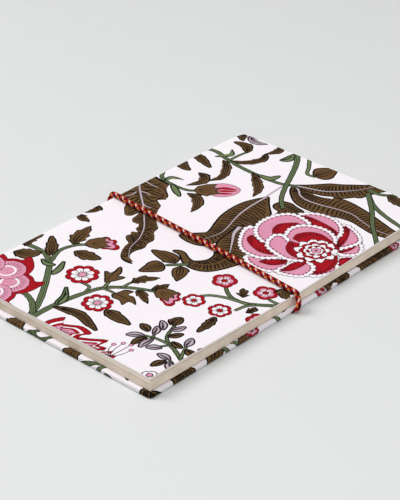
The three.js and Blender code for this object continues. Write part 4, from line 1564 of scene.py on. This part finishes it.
def cordCentre():
    # centre line of the loop in X and Z with its half thickness, evenly spaced, and the loop's length there
    look = cordLook
    radius, flat = look["diameter"] / 2, look["flatThickness"] / 2
    spine = -diary["coverHalfWidth"] - look["gap"]
    cover = diary["coverHalfWidth"] + look["gap"]
    pages = diary["pageForeEdge"] + look["gap"]
    top = diary["top"] + look["gap"] + radius
    bent = radius * 1.25
    corners = [
        (spine - radius, top, radius, diary["shoulderRadius"] + radius),
        (pages + radius * 0.55, top, radius, bent),
        (cover + radius, diary["turnInTop"] + radius * 0.4, radius, bent),
        (cover + flat, flat, flat, flat * 1.2),
        (spine - flat, flat, flat, flat * 1.2),
        (spine - radius, diary["turnInTop"] + radius, radius, bent),
    ]
    bends = []
    for i, (x, z, half, bend) in enumerate(corners):
        here = np.array((x, z))
        before = np.array(corners[i - 1][:2]) - here
        after = np.array(corners[(i + 1) % 6][:2]) - here
        lengthA, lengthB = np.hypot(*before), np.hypot(*after)
        before, after = before / lengthA, after / lengthB
        angle = math.acos(float(before @ after))
        reach = min(bend / math.tan(angle / 2), lengthA * 0.45, lengthB * 0.45)
        bends.append((here + before * reach, here, here + after * reach, half))
    line = []
    for i, (start, middle, end, half) in enumerate(bends):
        for k in range(look["bendSteps"] + 1):
            t = k / look["bendSteps"]
            line.append((*(start * (1 - t) ** 2 + middle * 2 * t * (1 - t) + end * t * t), half))
        following = bends[(i + 1) % 6]
        steps = max(2, int(np.hypot(*(following[0] - end))))
        for k in range(1, steps):
            t = k / steps
            eased = t * t * (3 - 2 * t)
            line.append((*(end + (following[0] - end) * t), half + (following[3] - half) * eased))
    line = np.array(line)
    x, z = line[:, 0], line[:, 1]
    sunk = pressAt(np.clip(x, -62, 62), -press["skew"] * x) * np.clip((z - 5) / 4, 0, 1)
    line[:, 1] += np.where(z > 5, sunk, 0)
    closed = np.vstack([line, line[:1]])
    lengths = addUp(np.hypot(*np.diff(closed[:, :2], axis=0).T))
    total = lengths[-1]
    count = int(total / look["step"])
    at = np.arange(count) * total / count
    return np.stack([np.interp(at, lengths, side) for side in closed.T], 1), total


def forwards(path):
    # from each point's neighbour before to its neighbour after, round a closed loop
    step = np.roll(path, -1, 0) - np.roll(path, 1, 0)
    return step / np.linalg.norm(step, axis=1)[:, None]


def cordPath(centre):
    # the centre line in space: it lies across the diary at a skew, and leans towards the tail underneath
    look = cordLook
    start = np.where(centre[:, 0] > 0, *look["leanFrom"])
    lean = backCut["channelShift"] * np.clip((start - centre[:, 1]) / (start - look["leanTo"]), 0, 1)
    lean = np.convolve(np.concatenate([lean[-4:], lean, lean[:4]]), np.full(9, 1 / 9), "valid")
    return np.stack([centre[:, 0], lean - press["skew"] * centre[:, 0], centre[:, 1]], 1)


def makeCord():
    look = cordLook
    centre, flatLength = cordCentre()
    count = len(centre)
    radius, flat = look["diameter"] / 2, look["flatThickness"] / 2
    along = forwards(centre[:, :2])
    outward = np.stack([-along[:, 1], np.zeros(count), along[:, 0]], 1)
    share = (radius - centre[:, 2]) / (radius - flat)
    thick = centre[:, 2] / radius
    wide = (radius + (look["flatWidth"] / 2 - radius) * share) / radius
    path = cordPath(centre)
    length = np.linalg.norm(np.diff(np.vstack([path, path[:1]]), axis=0), axis=1).sum()
    sideward = np.cross(forwards(path), outward)
    sideward *= np.sign(sideward[:, 1:2])
    vertices, faces, tints, yarn = [], [], [], []

    def tube(angle, height, strandWidth, strandHeight, sides, tint):
        # angle and height are where the strand runs round the cord, at each step
        start = len(vertices)
        for k in range(sides):
            a = 2 * math.pi * k / sides
            radial = height + strandHeight * math.cos(a)
            around = angle + strandWidth * math.sin(a) / np.maximum(height, 0.2)
            rise = (radial * np.cos(around) * thick)[:, None]
            aside = (radial * np.sin(around) * wide)[:, None]
            vertices.extend((path + outward * rise + sideward * aside) * mm)
        for k in range(sides):
            here, other = start + k * count, start + (k + 1) % sides * count
            for i in range(count):
                j = (i + 1) % count
                faces.append((here + i, here + j, other + j, other + i))
                tints.append(tint)
                yarn.append(((i, k), (i + 1, k), (i + 1, k + 1), (i, k + 1)))

    core = radius * look["coreShare"]
    tube(np.zeros(count), np.full(count, 1e-3), 0.0, core, look["coreSides"], look["core"])
    turn = np.arange(count) / count * round(flatLength / look["pitch"])
    middle = radius - look["wave"] - look["strandHeight"]
    strands = look["strandsEachWay"]
    for i in range(strands):
        # each strand passes over two of the other way and then under two
        for way, tint in ((1, look["colours"][i % 4]), (-1, look["crossing"][(1 - i) % 4])):
            wave = way * np.cos(2 * math.pi * ((2 * i + way * 2 * strands * turn) - 0.5) / 4)
            angle = 2 * math.pi / strands * i + way * 2 * math.pi * turn
            height = middle + look["wave"] * wave
            tube(angle, height, look["strandWidth"], look["strandHeight"], look["sides"], tint)
    piece = addMesh("braided_cord", vertices, faces)
    mesh = piece.data
    palette = {tint: colour(*tint) for tint in set(tints)}
    addColours(mesh, "strand", np.repeat(np.array([palette[tint] for tint in tints]), 4, 0))
    unit = np.array((length / count, 1 / look["sides"]), np.float32)
    spots = np.array(yarn, np.float32).reshape(-1, 2) * unit
    mesh.uv_layers.new(name="yarn").data.foreach_set("uv", spots.ravel())
    activate(piece)
    turnOutward()
    finishPiece(piece, "cord", 70)
    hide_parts("closure_cord")
    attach(piece, "cord")
    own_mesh(piece)
    print("cord made:", len(mesh.polygons), "faces, loop of", round(length, 1), "mm")


makeCord()


# ---- CAD nodes that show as they are
for finish, nodes in (
    ("endpaper", ("back_pastedown",)), ("kraft", ("spine_lining",)), ("gauze", ("spine_gauze",)),
    ("thread", ("stitch_1", "stitch_2", "stitch_3", "stitch_4")),
):
    for node in nodes:
        wear(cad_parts[node], materials[finish])


# ---- Floor and light
stageLook = {
    "floor": (226, 228, 227),
    # painted shade: the floor's colour away from the camera, where the light falls off
    "floorFarShade": (208, 209, 209),
    "floorGrain": (224, 225, 225),
    "floorSize": 6.0,
    "floorDepth": 0.00005,
    "world": 0.43,
}

# Each lamp's place, size in metres and power
lamps = {
    "overhead": ((0.1, -0.05, 1.3), 1.0, 5.0),
    "side": ((-1.9, -0.5, 1.9), 1.3, 46.5),
    "fill": ((2.2, 0.5, 0.45), 0.9, 5.0),
}


def addStage():
    look = stageLook
    deselectAll()
    bpy.ops.mesh.primitive_plane_add(size=look["floorSize"], location=(0, 0, -look["floorDepth"]))
    floor = bpy.context.object
    floor.name = "floor"
    material, wire = newMaterial("pale_table")
    place = wire.place()
    grain = wire.noise(place, 60)
    x, y, _ = wire.split(place)
    # painted shade: the floor is painted darker away from the camera
    away = (y * 1.1 - x * 1.0 + 0.5).clamp(0, 1)
    tone = wire.mix(away, colour(*look["floor"]), colour(*look["floorFarShade"]))
    tone = wire.mix(grain * 0.15, tone, colour(*look["floorGrain"]))
    wear(floor, finishMaterial(material, tone, 0.8, 0.2))
    world = bpy.context.scene.world or bpy.data.worlds.new("studio")
    bpy.context.scene.world = world
    world.use_nodes = True
    background = world.node_tree.nodes["Background"]
    background.inputs["Color"].default_value = (1, 1, 1, 1)
    background.inputs["Strength"].default_value = look["world"]


def addLamp(name, place, size, power):
    bpy.ops.object.light_add(type="AREA", location=place)
    lamp = bpy.context.object
    lamp.name = name
    lamp.data.size = size
    lamp.data.energy = power
    lamp.rotation_euler = (-Vector(place)).to_track_quat("-Z", "Y").to_euler()


addStage()
for name, (place, size, power) in lamps.items():
    addLamp(name, place, size, power)
bpy.context.scene.view_settings.view_transform = "Standard"

print("scene ready")
